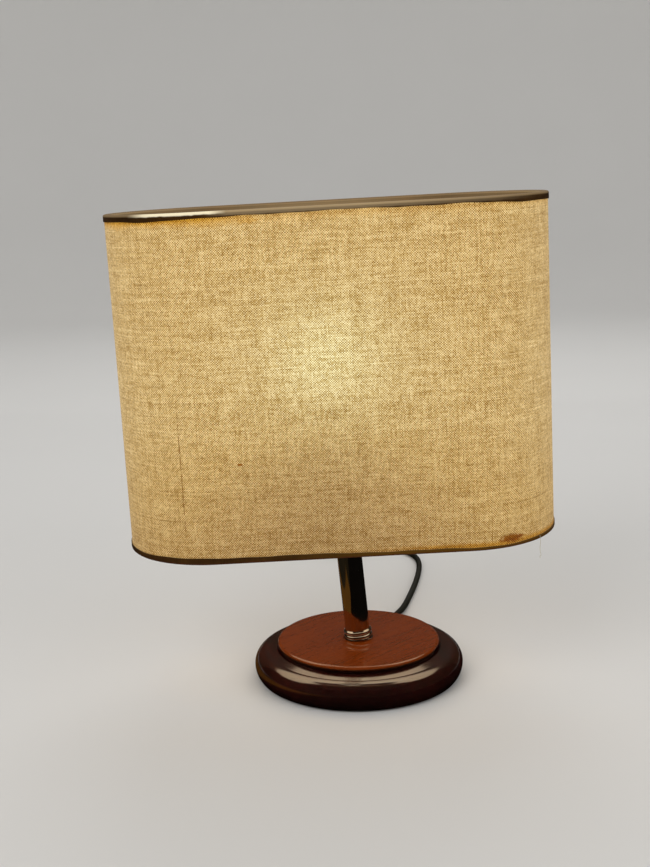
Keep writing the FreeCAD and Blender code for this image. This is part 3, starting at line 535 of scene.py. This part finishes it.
# places along the cloth and up it, in metres; a span is from, to, and the share at each
stains = {
    "raggedScale": (420, 420, 1), "unevenScale": (26, 1, 1), "unevenRoughness": 0.6,
    "glue": (0.86, 0.62, 0.15), "rust": (0.46, 0.24, 0.04), "darkThread": (0.55, 0.42, 0.25),
    "topEdge": 0.2814, "topRagged": 0.004, "topWander": 0.016, "topLeast": 0.0004,
    "topFull": 0.0022, "topSpan": (-0.05, -0.10, 0.35, 1.0),
    "footEdge": 0.0054, "footRagged": 0.0035, "footFade": (0.0044, 0.0016),
    "footSpan": (0.02, 0.08, 0.15, 0.9),
    # each spot's middle and its half widths
    "spotRagged": 1.6, "spotFade": (2.0, 1.5), "glueSpotShare": 0.6,
    "glueSpots": [((0.151, 0.0070), (0.0060, 0.0022)), ((-0.062, 0.2790), (0.0090, 0.0026))],
    "rustSpots": [((0.1404, 0.0078), (0.0108, 0.0034)), ((-0.0808, 0.0837), (0.0022, 0.0012))],
    "threadAcross": -0.1298, "threadMiddle": 0.075, "threadFade": (0.0007, 0.0003),
    "threadShortens": -4.0, "breakScale": (1, 210, 1), "breakFade": (0.30, 0.42),
}

# where the second layer starts at the back, and the cut edge that shows through
lap = {"double": (0.4545, 0.4552, 1.0, 0.82), "edge": (0.4620, 0.4626, 1.0, 0.62)}

lamplight = {
    "bulb": (-0.0234, 0.0, 0.3003), "spot": (0.17, 0.22, 0.13),
    # squares of distances, in square metres
    "reach": 0.00188, "behindCloth": 0.00464, "least": 0.0012,
    # by how steeply the light falls: straight down is 0, level is 0.5
    "levels": [(0.0, (0.04, 0.005, 0.0)), (0.09, (0.145, 0.073, 0.020)),
               (0.2, (0.25, 0.152, 0.045)), (0.35, (0.32, 0.215, 0.080)),
               (1.0, (0.32, 0.207, 0.073))],
}


# warp over weft, weft over warp, with every thread and every crossing a little different
def weaveLevel(tree, flat, values):
    parts = split(tree, flat)
    drift = noise(tree, stretched(tree, flat, values["warpDrift"]), detail=2.0)
    sway = noise(tree, stretched(tree, flat, values["weftSway"]), detail=2.0)
    warp = maths(tree, "MULTIPLY_ADD", drift, values["wander"],
                 maths(tree, "DIVIDE", parts[0], values["pitch"]))
    weft = maths(tree, "MULTIPLY_ADD", sway, values["wander"],
                 maths(tree, "DIVIDE", parts[1], values["pitch"]))
    crossing = maths(
        tree, "MULTIPLY", maths(tree, "COSINE", maths(tree, "MULTIPLY", warp, math.pi)),
        maths(tree, "COSINE", maths(tree, "MULTIPLY", weft, math.pi)))
    level = maths(tree, "MULTIPLY_ADD", crossing, values["depth"], 0.5)
    warpThread, weftThread = maths(tree, "ROUND", warp), maths(tree, "ROUND", weft)
    warpPlace = joined(tree, maths(tree, "MULTIPLY", warpThread, values["warpApart"]),
                       maths(tree, "MULTIPLY", weft, values["alongWarp"]))
    weftPlace = joined(tree, maths(tree, "MULTIPLY", warp, values["alongWeft"]),
                       maths(tree, "MULTIPLY", weftThread, values["weftApart"]))
    uneven = {
        "warpSlubs": noise(tree, warpPlace, detail=1.0),
        "weftSlubs": noise(tree, weftPlace, detail=1.0),
        "clouds": noise(tree, stretched(tree, flat, values["cloudScale"]),
                        detail=values["cloudDetail"], roughness=values["cloudRoughness"]),
        "crossings": scatter(tree, warpThread, weftThread),
        "warpTones": scatter(tree, warpThread),
        "weftTones": scatter(tree, 0.0, weftThread),
    }
    for kind, part in uneven.items():
        level = maths(
            tree, "MULTIPLY_ADD", maths(tree, "SUBTRACT", part, 0.5), values[kind], level)
    return maths(tree, "MAXIMUM", maths(tree, "MINIMUM", level, 1.0), 0.0)


# a ragged spot on the cloth
def spotMask(tree, flat, ragged, values, place, size):
    scale = (1 / size[0], 1 / size[1], 1)
    near = stretched(tree, flat, scale, (-place[0] / size[0], -place[1] / size[1], 0))
    far = maths(tree, "MULTIPLY_ADD", ragged, values["spotRagged"], lengthOf(tree, near))
    return spread(tree, far, *values["spotFade"])


# glue that has come through along both tapes and in spots
def glueMask(tree, flat, ragged, values):
    parts = split(tree, flat)
    uneven = noise(tree, stretched(tree, flat, values["unevenScale"]),
                   roughness=values["unevenRoughness"])
    deep = maths(tree, "MULTIPLY_ADD", ragged, values["topRagged"],
                 maths(tree, "SUBTRACT", values["topEdge"], parts[1]))
    reach = maths(tree, "MULTIPLY_ADD", uneven, values["topWander"], values["topLeast"])
    top = maths(tree, "MULTIPLY", spread(tree, deep, reach, values["topFull"]),
                spread(tree, parts[0], *values["topSpan"]))
    low = maths(tree, "MULTIPLY_ADD", ragged, values["footRagged"],
                maths(tree, "SUBTRACT", parts[1], values["footEdge"]))
    foot = maths(tree, "MULTIPLY", spread(tree, low, *values["footFade"]),
                 spread(tree, parts[0], *values["footSpan"]))
    glue = maths(tree, "MAXIMUM", top, foot)
    for place, size in values["glueSpots"]:
        spot = maths(tree, "MULTIPLY", spotMask(tree, flat, ragged, values, place, size),
                     values["glueSpotShare"])
        glue = maths(tree, "MAXIMUM", glue, spot)
    return glue


# one dark warp thread that shows in broken lengths
def threadMask(tree, flat, values):
    parts = split(tree, flat)
    broken = noise(tree, stretched(tree, flat, values["breakScale"]), detail=2.0)
    aside = maths(tree, "ABSOLUTE", maths(tree, "SUBTRACT", parts[0], values["threadAcross"]))
    away = maths(tree, "ABSOLUTE", maths(tree, "SUBTRACT", parts[1], values["threadMiddle"]))
    whole = maths(tree, "MULTIPLY_ADD", away, values["threadShortens"], broken)
    return maths(tree, "MULTIPLY", spread(tree, aside, *values["threadFade"]),
                 spread(tree, whole, *values["breakFade"]))


def stained(tree, flat, tint, values):
    ragged = noise(tree, stretched(tree, flat, values["raggedScale"]))
    rust = 0.0
    for place, size in values["rustSpots"]:
        rust = maths(
            tree, "MAXIMUM", rust, spotMask(tree, flat, ragged, values, place, size))
    masks = {
        "glue": glueMask(tree, flat, ragged, values), "rust": rust,
        "darkThread": threadMask(tree, flat, values),
    }
    for kind, mask in masks.items():
        tint = multiplied(tree, tint, blendColours(tree, mask, (1, 1, 1), values[kind]))
    return tint


# where the cloth is lapped at the back, two layers let less light through
def lapShade(tree, flat, values):
    along = maths(tree, "ABSOLUTE", split(tree, flat)[0])
    return maths(tree, "MULTIPLY", spread(tree, along, *values["double"]),
                 spread(tree, along, *values["edge"]))


# lamplight through the cloth: bright by the bulb, dimmer steeply below it
def glow(tree, place, values):
    away = apart(tree, place, values["bulb"])
    far = lengthOf(tree, away)
    steep = maths(tree, "DIVIDE", split(tree, away)[2], far)
    level = ramp(tree, spread(tree, steep, -1.0, 1.0), values["levels"])
    beyond = maths(
        tree, "SUBTRACT", maths(tree, "MULTIPLY", far, far), values["behindCloth"])
    near = maths(
        tree, "DIVIDE", values["reach"], maths(tree, "MAXIMUM", beyond, values["least"]))
    return blendColours(tree, 1.0, level, dimmed(tree, values["spot"], near), "ADD")


def linenCloth(look):
    material, tree, shader = startMaterial("linenCloth", look["shader"])
    flat = clothPlace(tree)
    threads = weaveLevel(tree, flat, weave)
    tint = stained(tree, flat, ramp(tree, threads, look["shades"]), stains)
    light = dimmed(tree, glow(tree, objectPlace(tree), lamplight), lapShade(tree, flat, lap))
    feed(tree, shader, {
        "Base Color": multiplied(tree, tint, look["body"]),
        "Emission Color": multiplied(tree, tint, light)})
    addBump(tree, shader, threads, strength=0.35, distance=0.0004)
    return material


# how squarely a face turns to the bulb, and how near it is
def bulbLight(tree, place, bulb, near=0.13):
    toBulb = apart(tree, bulb, place)
    far = lengthOf(tree, toBulb)
    normal = put(tree, "NewGeometry", {}).outputs["Normal"]
    facing = put(tree, "VectorMath", {0: normal, 1: toBulb}, operation="DOT_PRODUCT")
    square = maths(tree, "DIVIDE", maths(tree, "MAXIMUM", facing.outputs["Value"], 0.0), far)
    fade = maths(tree, "POWER", maths(tree, "DIVIDE", near, far), 2.0)
    return maths(tree, "MULTIPLY", square, fade)


# places round the ribbon and up it in metres, spans as on the linen
ribbonLook = {
    "shader": {"Roughness": 0.72, "Specular IOR Level": 0.15, "Emission Strength": 1.0},
    "dark": (0.028, 0.010, 0.0006), "light": (0.080, 0.032, 0.003), "red": (0.085, 0.022, 0.006),
    # the last three colours are painted light: lamplight on the inner sides, a highlight on the top
    "olive": (0.125, 0.055, 0.002), "lit": (0.42, 0.32, 0.17), "paintedSheen": (0.24, 0.17, 0.09),
    "foldHighlight": (0.90, 0.81, 0.57),
    "threadScale": (1500, 60, 1), "threadShare": 0.5, "patchScale": (35, 90, 1),
    "patchShare": 0.6, "raggedScale": (160, 160, 1),
    "front": (-0.05, -0.074), "glued": 0.2820, "gluedRagged": 0.0012,
    # spans on the top ribbon for its painted highlight, painted glow and painted glint
    "sheenLeft": (-0.098, -0.076), "sheenRight": (0.15, 0.03, 0.30, 1.0),
    "sheenUp": (0.0018, 0.0032), "upper": (0.2855, 0.2866), "upperShare": 0.7,
    "highlightLeft": (-0.163, -0.147), "highlightRight": (-0.078, -0.092), "highlightUp": (0.0036, 0.0046),
    "oliveSpan": (-0.05, 0.03, 0.0, 0.7), "redRagged": 0.002, "redUp": (0.0030, 0.0014),
}


# painted light on the top ribbon: a highlight over the top half of its near side, a faint glow
# along the top of its web all round, and a bright glint on the folded edge at the near left
def paintedTopLight(tree, look, flat, ragged, body, inside):
    parts = split(tree, flat)
    front = spread(tree, split(tree, objectPlace(tree))[1], *look["front"])
    rise = maths(tree, "MULTIPLY_ADD", ragged, look["gluedRagged"],
                 maths(tree, "SUBTRACT", parts[1], look["glued"]))

    def nearSide(left, right, up):
        along = maths(tree, "MULTIPLY", spread(tree, parts[0], *look[left]),
                      spread(tree, parts[0], *look[right]))
        return maths(tree, "MULTIPLY", maths(tree, "MULTIPLY", front, along),
                     spread(tree, rise, *look[up]))

    # painted highlight in the base colour, over the top half of the near side
    body = blendColours(tree, nearSide("sheenLeft", "sheenRight", "sheenUp"), body, look["paintedSheen"])
    # painted glow along the top of the web all round, added to the lamplight
    upper = maths(tree, "MULTIPLY", spread(tree, parts[1], *look["upper"]), look["upperShare"])
    inside = blendColours(tree, 1.0, inside, dimmed(tree, look["paintedSheen"], upper), "ADD")
    # painted glint: a bright line on the folded edge at the near left
    highlightMask = nearSide("highlightLeft", "highlightRight", "highlightUp")
    return body, blendColours(tree, highlightMask, inside, look["foldHighlight"])


# browner towards the right, and reddish along its lower edge
def footEdge(tree, look, flat, ragged, body):
    parts = split(tree, flat)
    body = blendColours(tree, spread(tree, parts[0], *look["oliveSpan"]), body, look["olive"])
    low = maths(tree, "MULTIPLY_ADD", ragged, look["redRagged"], parts[1])
    return blendColours(tree, spread(tree, low, *look["redUp"]), body, look["red"])


def ribbon(name, look, onTop):
    material, tree, shader = startMaterial(name, look["shader"])
    flat = clothPlace(tree)
    threads = noise(tree, stretched(tree, flat, look["threadScale"]), detail=2.0)
    patches = noise(tree, stretched(tree, flat, look["patchScale"]))
    mixed = maths(tree, "MULTIPLY_ADD", patches, look["patchShare"],
                  maths(tree, "MULTIPLY", threads, look["threadShare"]))
    body = ramp(tree, mixed, [(0.40, look["dark"]), (0.80, look["light"])])
    inside = dimmed(
        tree, look["lit"], bulbLight(tree, objectPlace(tree), lamplight["bulb"]))
    ragged = noise(tree, stretched(tree, flat, look["raggedScale"]))
    if onTop:
        body, inside = paintedTopLight(tree, look, flat, ragged, body, inside)
    else:
        body = footEdge(tree, look, flat, ragged, body)
    feed(tree, shader, {"Base Color": body, "Emission Color": inside})
    addBump(tree, shader, threads, strength=0.4, distance=0.0003)
    return material


def flax(name, colour):
    material, tree, shader = startMaterial(name, {"Roughness": 0.8, "Sheen Weight": 0.2})
    fibres = noise(tree, stretched(tree, objectPlace(tree), (4000, 4000, 900)), detail=2.0)
    feed(tree, shader, {
        "Base Color": ramp(tree, fibres, [(0.3, toned(colour, 0.75)), (0.7, colour)])})
    addBump(tree, shader, fibres, strength=0.3, distance=0.0001)
    return material


linerLook = {
    "shader": {"Roughness": 0.45, "Emission Strength": 1.0}, "dull": (0.66, 0.62, 0.54),
    "white": (0.72, 0.69, 0.61), "lit": (1.0, 0.74, 0.47), "fade": (0.08, 0.26, 0.44, 0.36),
}


# white styrene liner, lit from inside
def linerSheet(look):
    material, tree, shader = startMaterial("linerSheet", look["shader"])
    place = objectPlace(tree)
    mottled = noise(tree, place, scale=60.0)
    far = lengthOf(tree, apart(tree, place, lamplight["bulb"]))
    feed(tree, shader, {
        "Base Color": ramp(tree, mottled, [(0.3, look["dull"]), (0.7, look["white"])]),
        "Emission Color": dimmed(tree, look["lit"], spread(tree, far, *look["fade"]))})
    addBump(tree, shader, mottled, strength=0.1, distance=0.0005)
    return material


wear(linenCloth(linenLook), shadeLinen)
wear(flax("flaxPale", (0.60, 0.52, 0.36)), frayedThread)
wear(ribbon("ribbonTop", ribbonLook, onTop=True), topTape)
wear(ribbon("ribbonFoot", ribbonLook, onTop=False), bottomTape)
wear(linerSheet(linerLook), "shade_liner")


# wood, metal and plastic

woodGrain = {
    "swayScale": (14, 3, 14), "sway": 0.02, "streakScale": (330, 14, 330), "streakDetail": 4.0,
    "streakRoughness": 0.65, "streakShare": 0.55, "bandScale": (36, 3, 36), "bandShare": 0.45,
    "poreScale": (1300, 130, 1300), "poreRoughness": 0.6, "poreFade": (0.33, 0.45),
    "places": (0.30, 0.5, 0.72), "shadowLevel": 0.08, "poreRise": 0.5,
}

# the shadow is a span of height, from the dark under an edge to the open
darkWood = {
    "shades": [(0.009, 0.0006, 0.0004), (0.026, 0.0016, 0.0012), (0.072, 0.0050, 0.0032)],
    "azimuth": math.radians(-20), "shadow": (-0.004, 0.024), "pores": 0.5,
    "shader": {"Roughness": 0.4, "Specular IOR Level": 0.05, "Coat Weight": 0.9,
               "Coat Roughness": 0.14, "Coat IOR": 3.6},
}
redWood = {
    "shades": [(0.158, 0.0255, 0.0006), (0.208, 0.0340, 0.0010), (0.262, 0.0470, 0.0015)],
    "azimuth": math.radians(45), "shadow": (0.0302, 0.0318), "pores": 0.86,
    "shader": {"Roughness": 0.5, "Specular IOR Level": 0.05, "Coat Weight": 0.85,
               "Coat Roughness": 0.12, "Coat IOR": 2.6},
}


# grain runs along the local Y of a pattern turned by azimuth
def stainedWood(name, values, grainValues):
    material, tree, shader = startMaterial(name, values["shader"])
    place = put(tree, "Mapping", {
        "Vector": objectPlace(tree), "Rotation": (0, 0, values["azimuth"])}).outputs[0]
    sway = noise(tree, stretched(tree, place, grainValues["swayScale"]), detail=2.0)
    bent = put(tree, "VectorMath", {0: place, 1: joined(tree, maths(
        tree, "MULTIPLY", sway, grainValues["sway"]))}, operation="ADD").outputs[0]
    streaks = noise(tree, stretched(tree, bent, grainValues["streakScale"]),
                    detail=grainValues["streakDetail"], roughness=grainValues["streakRoughness"])
    bands = noise(tree, stretched(tree, bent, grainValues["bandScale"]))
    pores = noise(tree, stretched(tree, place, grainValues["poreScale"]), detail=2.0,
                  roughness=grainValues["poreRoughness"])
    grain = maths(tree, "MULTIPLY_ADD", streaks, grainValues["streakShare"],
                  maths(tree, "MULTIPLY", bands, grainValues["bandShare"]))
    colour = ramp(tree, grain, list(zip(grainValues["places"], values["shades"])))
    holes = spread(tree, pores, *grainValues["poreFade"], values["pores"], 1.0)
    shadow = spread(
        tree, split(tree, place)[2], *values["shadow"], grainValues["shadowLevel"], 1.0)
    rough = values["shader"]["Roughness"]
    feed(tree, shader, {
        "Base Color": dimmed(tree, colour, maths(tree, "MULTIPLY", holes, shadow)),
        "Roughness": spread(tree, pores, 0.3, 0.7, rough + 0.06, rough - 0.04)})
    addBump(tree, shader, maths(tree, "MULTIPLY_ADD", pores, grainValues["poreRise"], grain),
            strength=0.16, distance=0.0004)
    return material


def plated(name, colour, roughness, scratch=0.03):
    material, tree, shader = startMaterial(name, {"Metallic": 1.0})
    place = objectPlace(tree)
    haze = noise(tree, place, scale=90.0, detail=4.0, roughness=0.6)
    fine = noise(tree, stretched(tree, place, (2500, 2500, 120)), detail=2.0)
    feed(tree, shader, {
        "Base Color": ramp(tree, haze, [(0.3, toned(colour, 0.94)), (0.7, colour)]),
        "Roughness": spread(tree, haze, 0.3, 0.7, roughness, roughness + scratch)})
    addBump(tree, shader, fine, strength=0.02, distance=0.0001)
    return material


def moulded(name, colour, roughness, grainSize=900.0, depth=0.15):
    material, tree, shader = startMaterial(name, {"Specular IOR Level": 0.45})
    place = objectPlace(tree)
    grain = noise(tree, place, scale=grainSize, detail=2.0)
    patch = noise(tree, place, scale=45.0)
    feed(tree, shader, {
        "Base Color": ramp(tree, patch, [(0.3, toned(colour, 0.82)), (0.7, toned(colour, 1.12))]),
        "Roughness": spread(tree, patch, 0.3, 0.7, roughness - 0.06, roughness + 0.06)})
    addBump(tree, shader, grain, strength=depth, distance=0.0002)
    return material


def cordJacket():
    material, tree, shader = startMaterial("cordJacket", {"Specular IOR Level": 0.4})
    place = objectPlace(tree)
    grain = noise(tree, place, scale=1100.0, detail=2.0)
    dust = noise(tree, place, scale=70.0)
    feed(tree, shader, {
        "Base Color": ramp(
            tree, dust, [(0.35, (0.012, 0.012, 0.008)), (0.7, (0.024, 0.024, 0.016))]),
        "Roughness": spread(tree, dust, 0.3, 0.7, 0.36, 0.52)})
    addBump(tree, shader, grain, strength=0.15, distance=0.0002)
    return material


# frosted globe and its chips, lit
def litSurface(name, colour, strength):
    material, tree, shader = startMaterial(name, {
        "Roughness": 0.5, "Emission Color": (*colour, 1), "Emission Strength": strength})
    frost = noise(tree, objectPlace(tree), scale=120.0)
    feed(tree, shader, {
        "Base Color": ramp(tree, frost, [(0.3, toned(colour, 0.9)), (0.7, colour)])})
    addBump(tree, shader, frost, strength=0.05, distance=0.0003)
    return material


wear(stainedWood("stainedDark", darkWood, woodGrain), "base_lower_tier")
wear(stainedWood("stainedRed", redWood, woodGrain), "base_top_disc")
wear(plated("chromePlate", (0.60, 0.58, 0.56), roughness=0.06), "stem_tube", "stem_collar",
     "stem_cap")
wear(plated("zincSteel", (0.55, 0.55, 0.53), roughness=0.34, scratch=0.12), "threaded_rod",
     "base_washer", "lock_washer", "base_nut", "rod_lock_screw", "terminal_screws",
     "clamp_screws", "rocker_pin", "switch_screws")
wear(plated("pinMetal", (0.72, 0.71, 0.68), roughness=0.2, scratch=0.08), "plug_pins")
wear(plated("spunBrass", (0.78, 0.56, 0.24), roughness=0.28, scratch=0.1), "screw_shell",
     "centre_contact", "terminal_blocks", "switch_contacts")
wear(plated("bulbCapMetal", (0.74, 0.73, 0.71), roughness=0.25, scratch=0.1), "bulb_cap",
     "bulb_tip")
wear(moulded("feltGrey", (0.055, 0.050, 0.046), roughness=0.9, grainSize=1400.0, depth=0.8),
     "felt_pad")
wear(moulded("blackPlastic", (0.014, 0.014, 0.013), roughness=0.38), "cord_clamp", "holder_base",
     "holder_shell", "lower_shade_ring", "upper_shade_ring", "switch_base", "switch_cover",
     "plug_body", "bulb_insulator")
wear(moulded("rockerPlastic", (0.03, 0.03, 0.029), roughness=0.3), "switch_rocker")
wear(moulded("whitePlastic", (0.72, 0.71, 0.68), roughness=0.4), "bulb_body")
wear(moulded("markWhite", (0.62, 0.62, 0.60), roughness=0.5), rockerBar, rockerRing)
wear(moulded("glazedCeramic", (0.76, 0.74, 0.69), roughness=0.18), "holder_core")
wear(moulded("boardWhite", (0.66, 0.67, 0.66), roughness=0.4), "led_board")
wear(moulded("boardGreen", (0.03, 0.16, 0.07), roughness=0.35), "driver_board")
wear(moulded("whiteWire", (0.62, 0.60, 0.56), roughness=0.35), "fitter_ring", "fitter_arms",
     "top_wire_ring", "bottom_wire_ring")
wear(moulded("cordBlack", (0.017, 0.017, 0.012), roughness=0.45), "strain_relief", "inner_cord",
     "plug_strain_relief", "cord_tie")
wear(moulded("leadBrown", (0.11, 0.045, 0.02), roughness=0.4), "lead_live")
wear(moulded("leadBlue", (0.02, 0.07, 0.25), roughness=0.4), "lead_neutral")
wear(cordJacket(), mainsCord)
wear(litSurface("frostedGlobe", (1.0, 0.88, 0.62), strength=2.8), "bulb_globe")
wear(litSurface("chipYellow", (1.0, 0.80, 0.35), strength=2.0), "led_chips")
print("materials worn")


# a round pale floor that sweeps up all round, soft lamps and a plain world

studio = {
    "reach": 4.2, "wallTall": 2.6, "sweep": 1.4, "sweepSteps": 12, "turnSteps": 96,
    "colour": (0.72, 0.71, 0.69), "worldLevel": 0.62, "lampAim": (0, 0, 0.2), "lampSize": 1.6,
}

# the two in front stay out of reflections, where their broad squares would grey the lacquer
lamps = {
    "keyLamp": {"place": (-1.3, -1.7, 1.7), "power": 20, "mirrored": False},
    "fillLamp": {"place": (1.6, -1.3, 1.1), "power": 9, "mirrored": False},
    "backLamp": {"place": (0.2, 1.7, 1.9), "power": 12, "mirrored": True},
}

# dark cards that only reflections see, as a dim room gives them: two corners and a colour
cards = {
    "darkMat": ((-0.1, -1.95, 0.0010), (1.95, 0.5, 0.0010), (0.005, 0.004, 0.003)),
    "brownMat": ((-0.195, -0.19, 0.0012), (-0.1, 0.3, 0.0012), (0.12, 0.055, 0.010)),
    "dimMat": ((-1.95, -1.95, 0.0010), (-0.1, 0.5, 0.0010), (0.020, 0.015, 0.008)),
    "dimLeft": ((-1.95, -1.95, 0.0), (-1.95, 1.95, 2.8), (0.016, 0.012, 0.007)),
    "dimRight": ((1.95, -1.95, 0.0), (1.95, 1.95, 2.8), (0.016, 0.012, 0.007)),
    "darkBack": ((-1.6, 1.3, 0.0), (1.6, 1.3, 1.5), (0.040, 0.030, 0.016)),
    "darkFront": ((-1.95, -1.95, 0.0), (1.95, -1.95, 2.8), (0.010, 0.008, 0.005)),
    "darkTop": ((-1.95, -1.95, 2.8), (1.95, 1.95, 2.8), (0.030, 0.022, 0.014)),
}


def makeStudio(values):
    reach, sweep, steps = values["reach"], values["sweep"], values["sweepSteps"]
    points = [(0, 0, 0), (reach - sweep, 0, 0)]
    for step in range(1, steps + 1):
        turn = math.pi / 2 * step / steps
        points.append((
            reach - sweep + sweep * math.sin(turn), 0, sweep - sweep * math.cos(turn)))
    points.append((reach, 0, values["wallTall"]))
    floor = drawProfile("studioFloor", points)
    bpy.ops.mesh.select_all(action="SELECT")
    bpy.ops.mesh.spin(
        steps=values["turnSteps"], angle=2 * math.pi, center=(0, 0, 0), axis=(0, 0, 1))
    bpy.ops.mesh.select_all(action="SELECT")
    bpy.ops.mesh.remove_doubles(threshold=1e-4)
    bpy.ops.mesh.normals_make_consistent(inside=True)
    bpy.ops.object.mode_set(mode="OBJECT")
    settle(floor, Matrix.Identity(4), math.radians(60))
    material, tree, shader = startMaterial("paleFloor", {
        "Roughness": 0.75, "Specular IOR Level": 0.2})
    soft = noise(tree, objectPlace(tree), scale=3.0, detail=2.0)
    feed(tree, shader, {"Base Color": ramp(
        tree, soft, [(0.3, toned(values["colour"], 0.985)), (0.7, values["colour"])])})
    wear(material, floor)


def addLamp(name, values, aim, size):
    data = bpy.data.lights.new(name, "AREA")
    data.shape = "SQUARE"
    data.size = size
    data.energy = values["power"]
    lamp = bpy.data.objects.new(name, data)
    bpy.context.scene.collection.objects.link(lamp)
    lamp.location = values["place"]
    ahead = Vector(aim) - Vector(values["place"])
    lamp.rotation_euler = ahead.to_track_quat("-Z", "Y").to_euler()
    lamp.visible_glossy = values["mirrored"]


def addCard(name, lowCorner, highCorner, colour):
    low, high = Vector(lowCorner), Vector(highCorner)
    clearSelection()
    bpy.ops.mesh.primitive_plane_add(size=1, location=(low + high) / 2)
    card = bpy.context.active_object
    card.name = card.data.name = name
    span = high - low
    if span.z == 0:
        card.scale = (span.x, span.y, 1)
    elif span.y == 0:
        card.rotation_euler = (math.pi / 2, 0, 0)
        card.scale = (span.x, span.z, 1)
    else:
        card.rotation_euler = (0, math.pi / 2, 0)
        card.scale = (span.z, span.y, 1)
    card.visible_camera = card.visible_diffuse = card.visible_shadow = False
    material, _, _ = startMaterial(name, {
        "Roughness": 0.9, "Specular IOR Level": 0.0, "Base Color": (*colour, 1)})
    wear(material, card)


def setWorld(level):
    world = bpy.data.worlds.new("studioWorld")
    world.use_nodes = True
    background = world.node_tree.nodes["Background"]
    background.inputs["Color"].default_value = (1, 1, 1, 1)
    background.inputs["Strength"].default_value = level
    bpy.context.scene.world = world


makeStudio(studio)
for name, card in cards.items():
    addCard(name, *card)
for name, lamp in lamps.items():
    addLamp(name, lamp, studio["lampAim"], studio["lampSize"])
setWorld(studio["worldLevel"])
bpy.context.scene.view_settings.view_transform = "Standard"
print("studio lit")
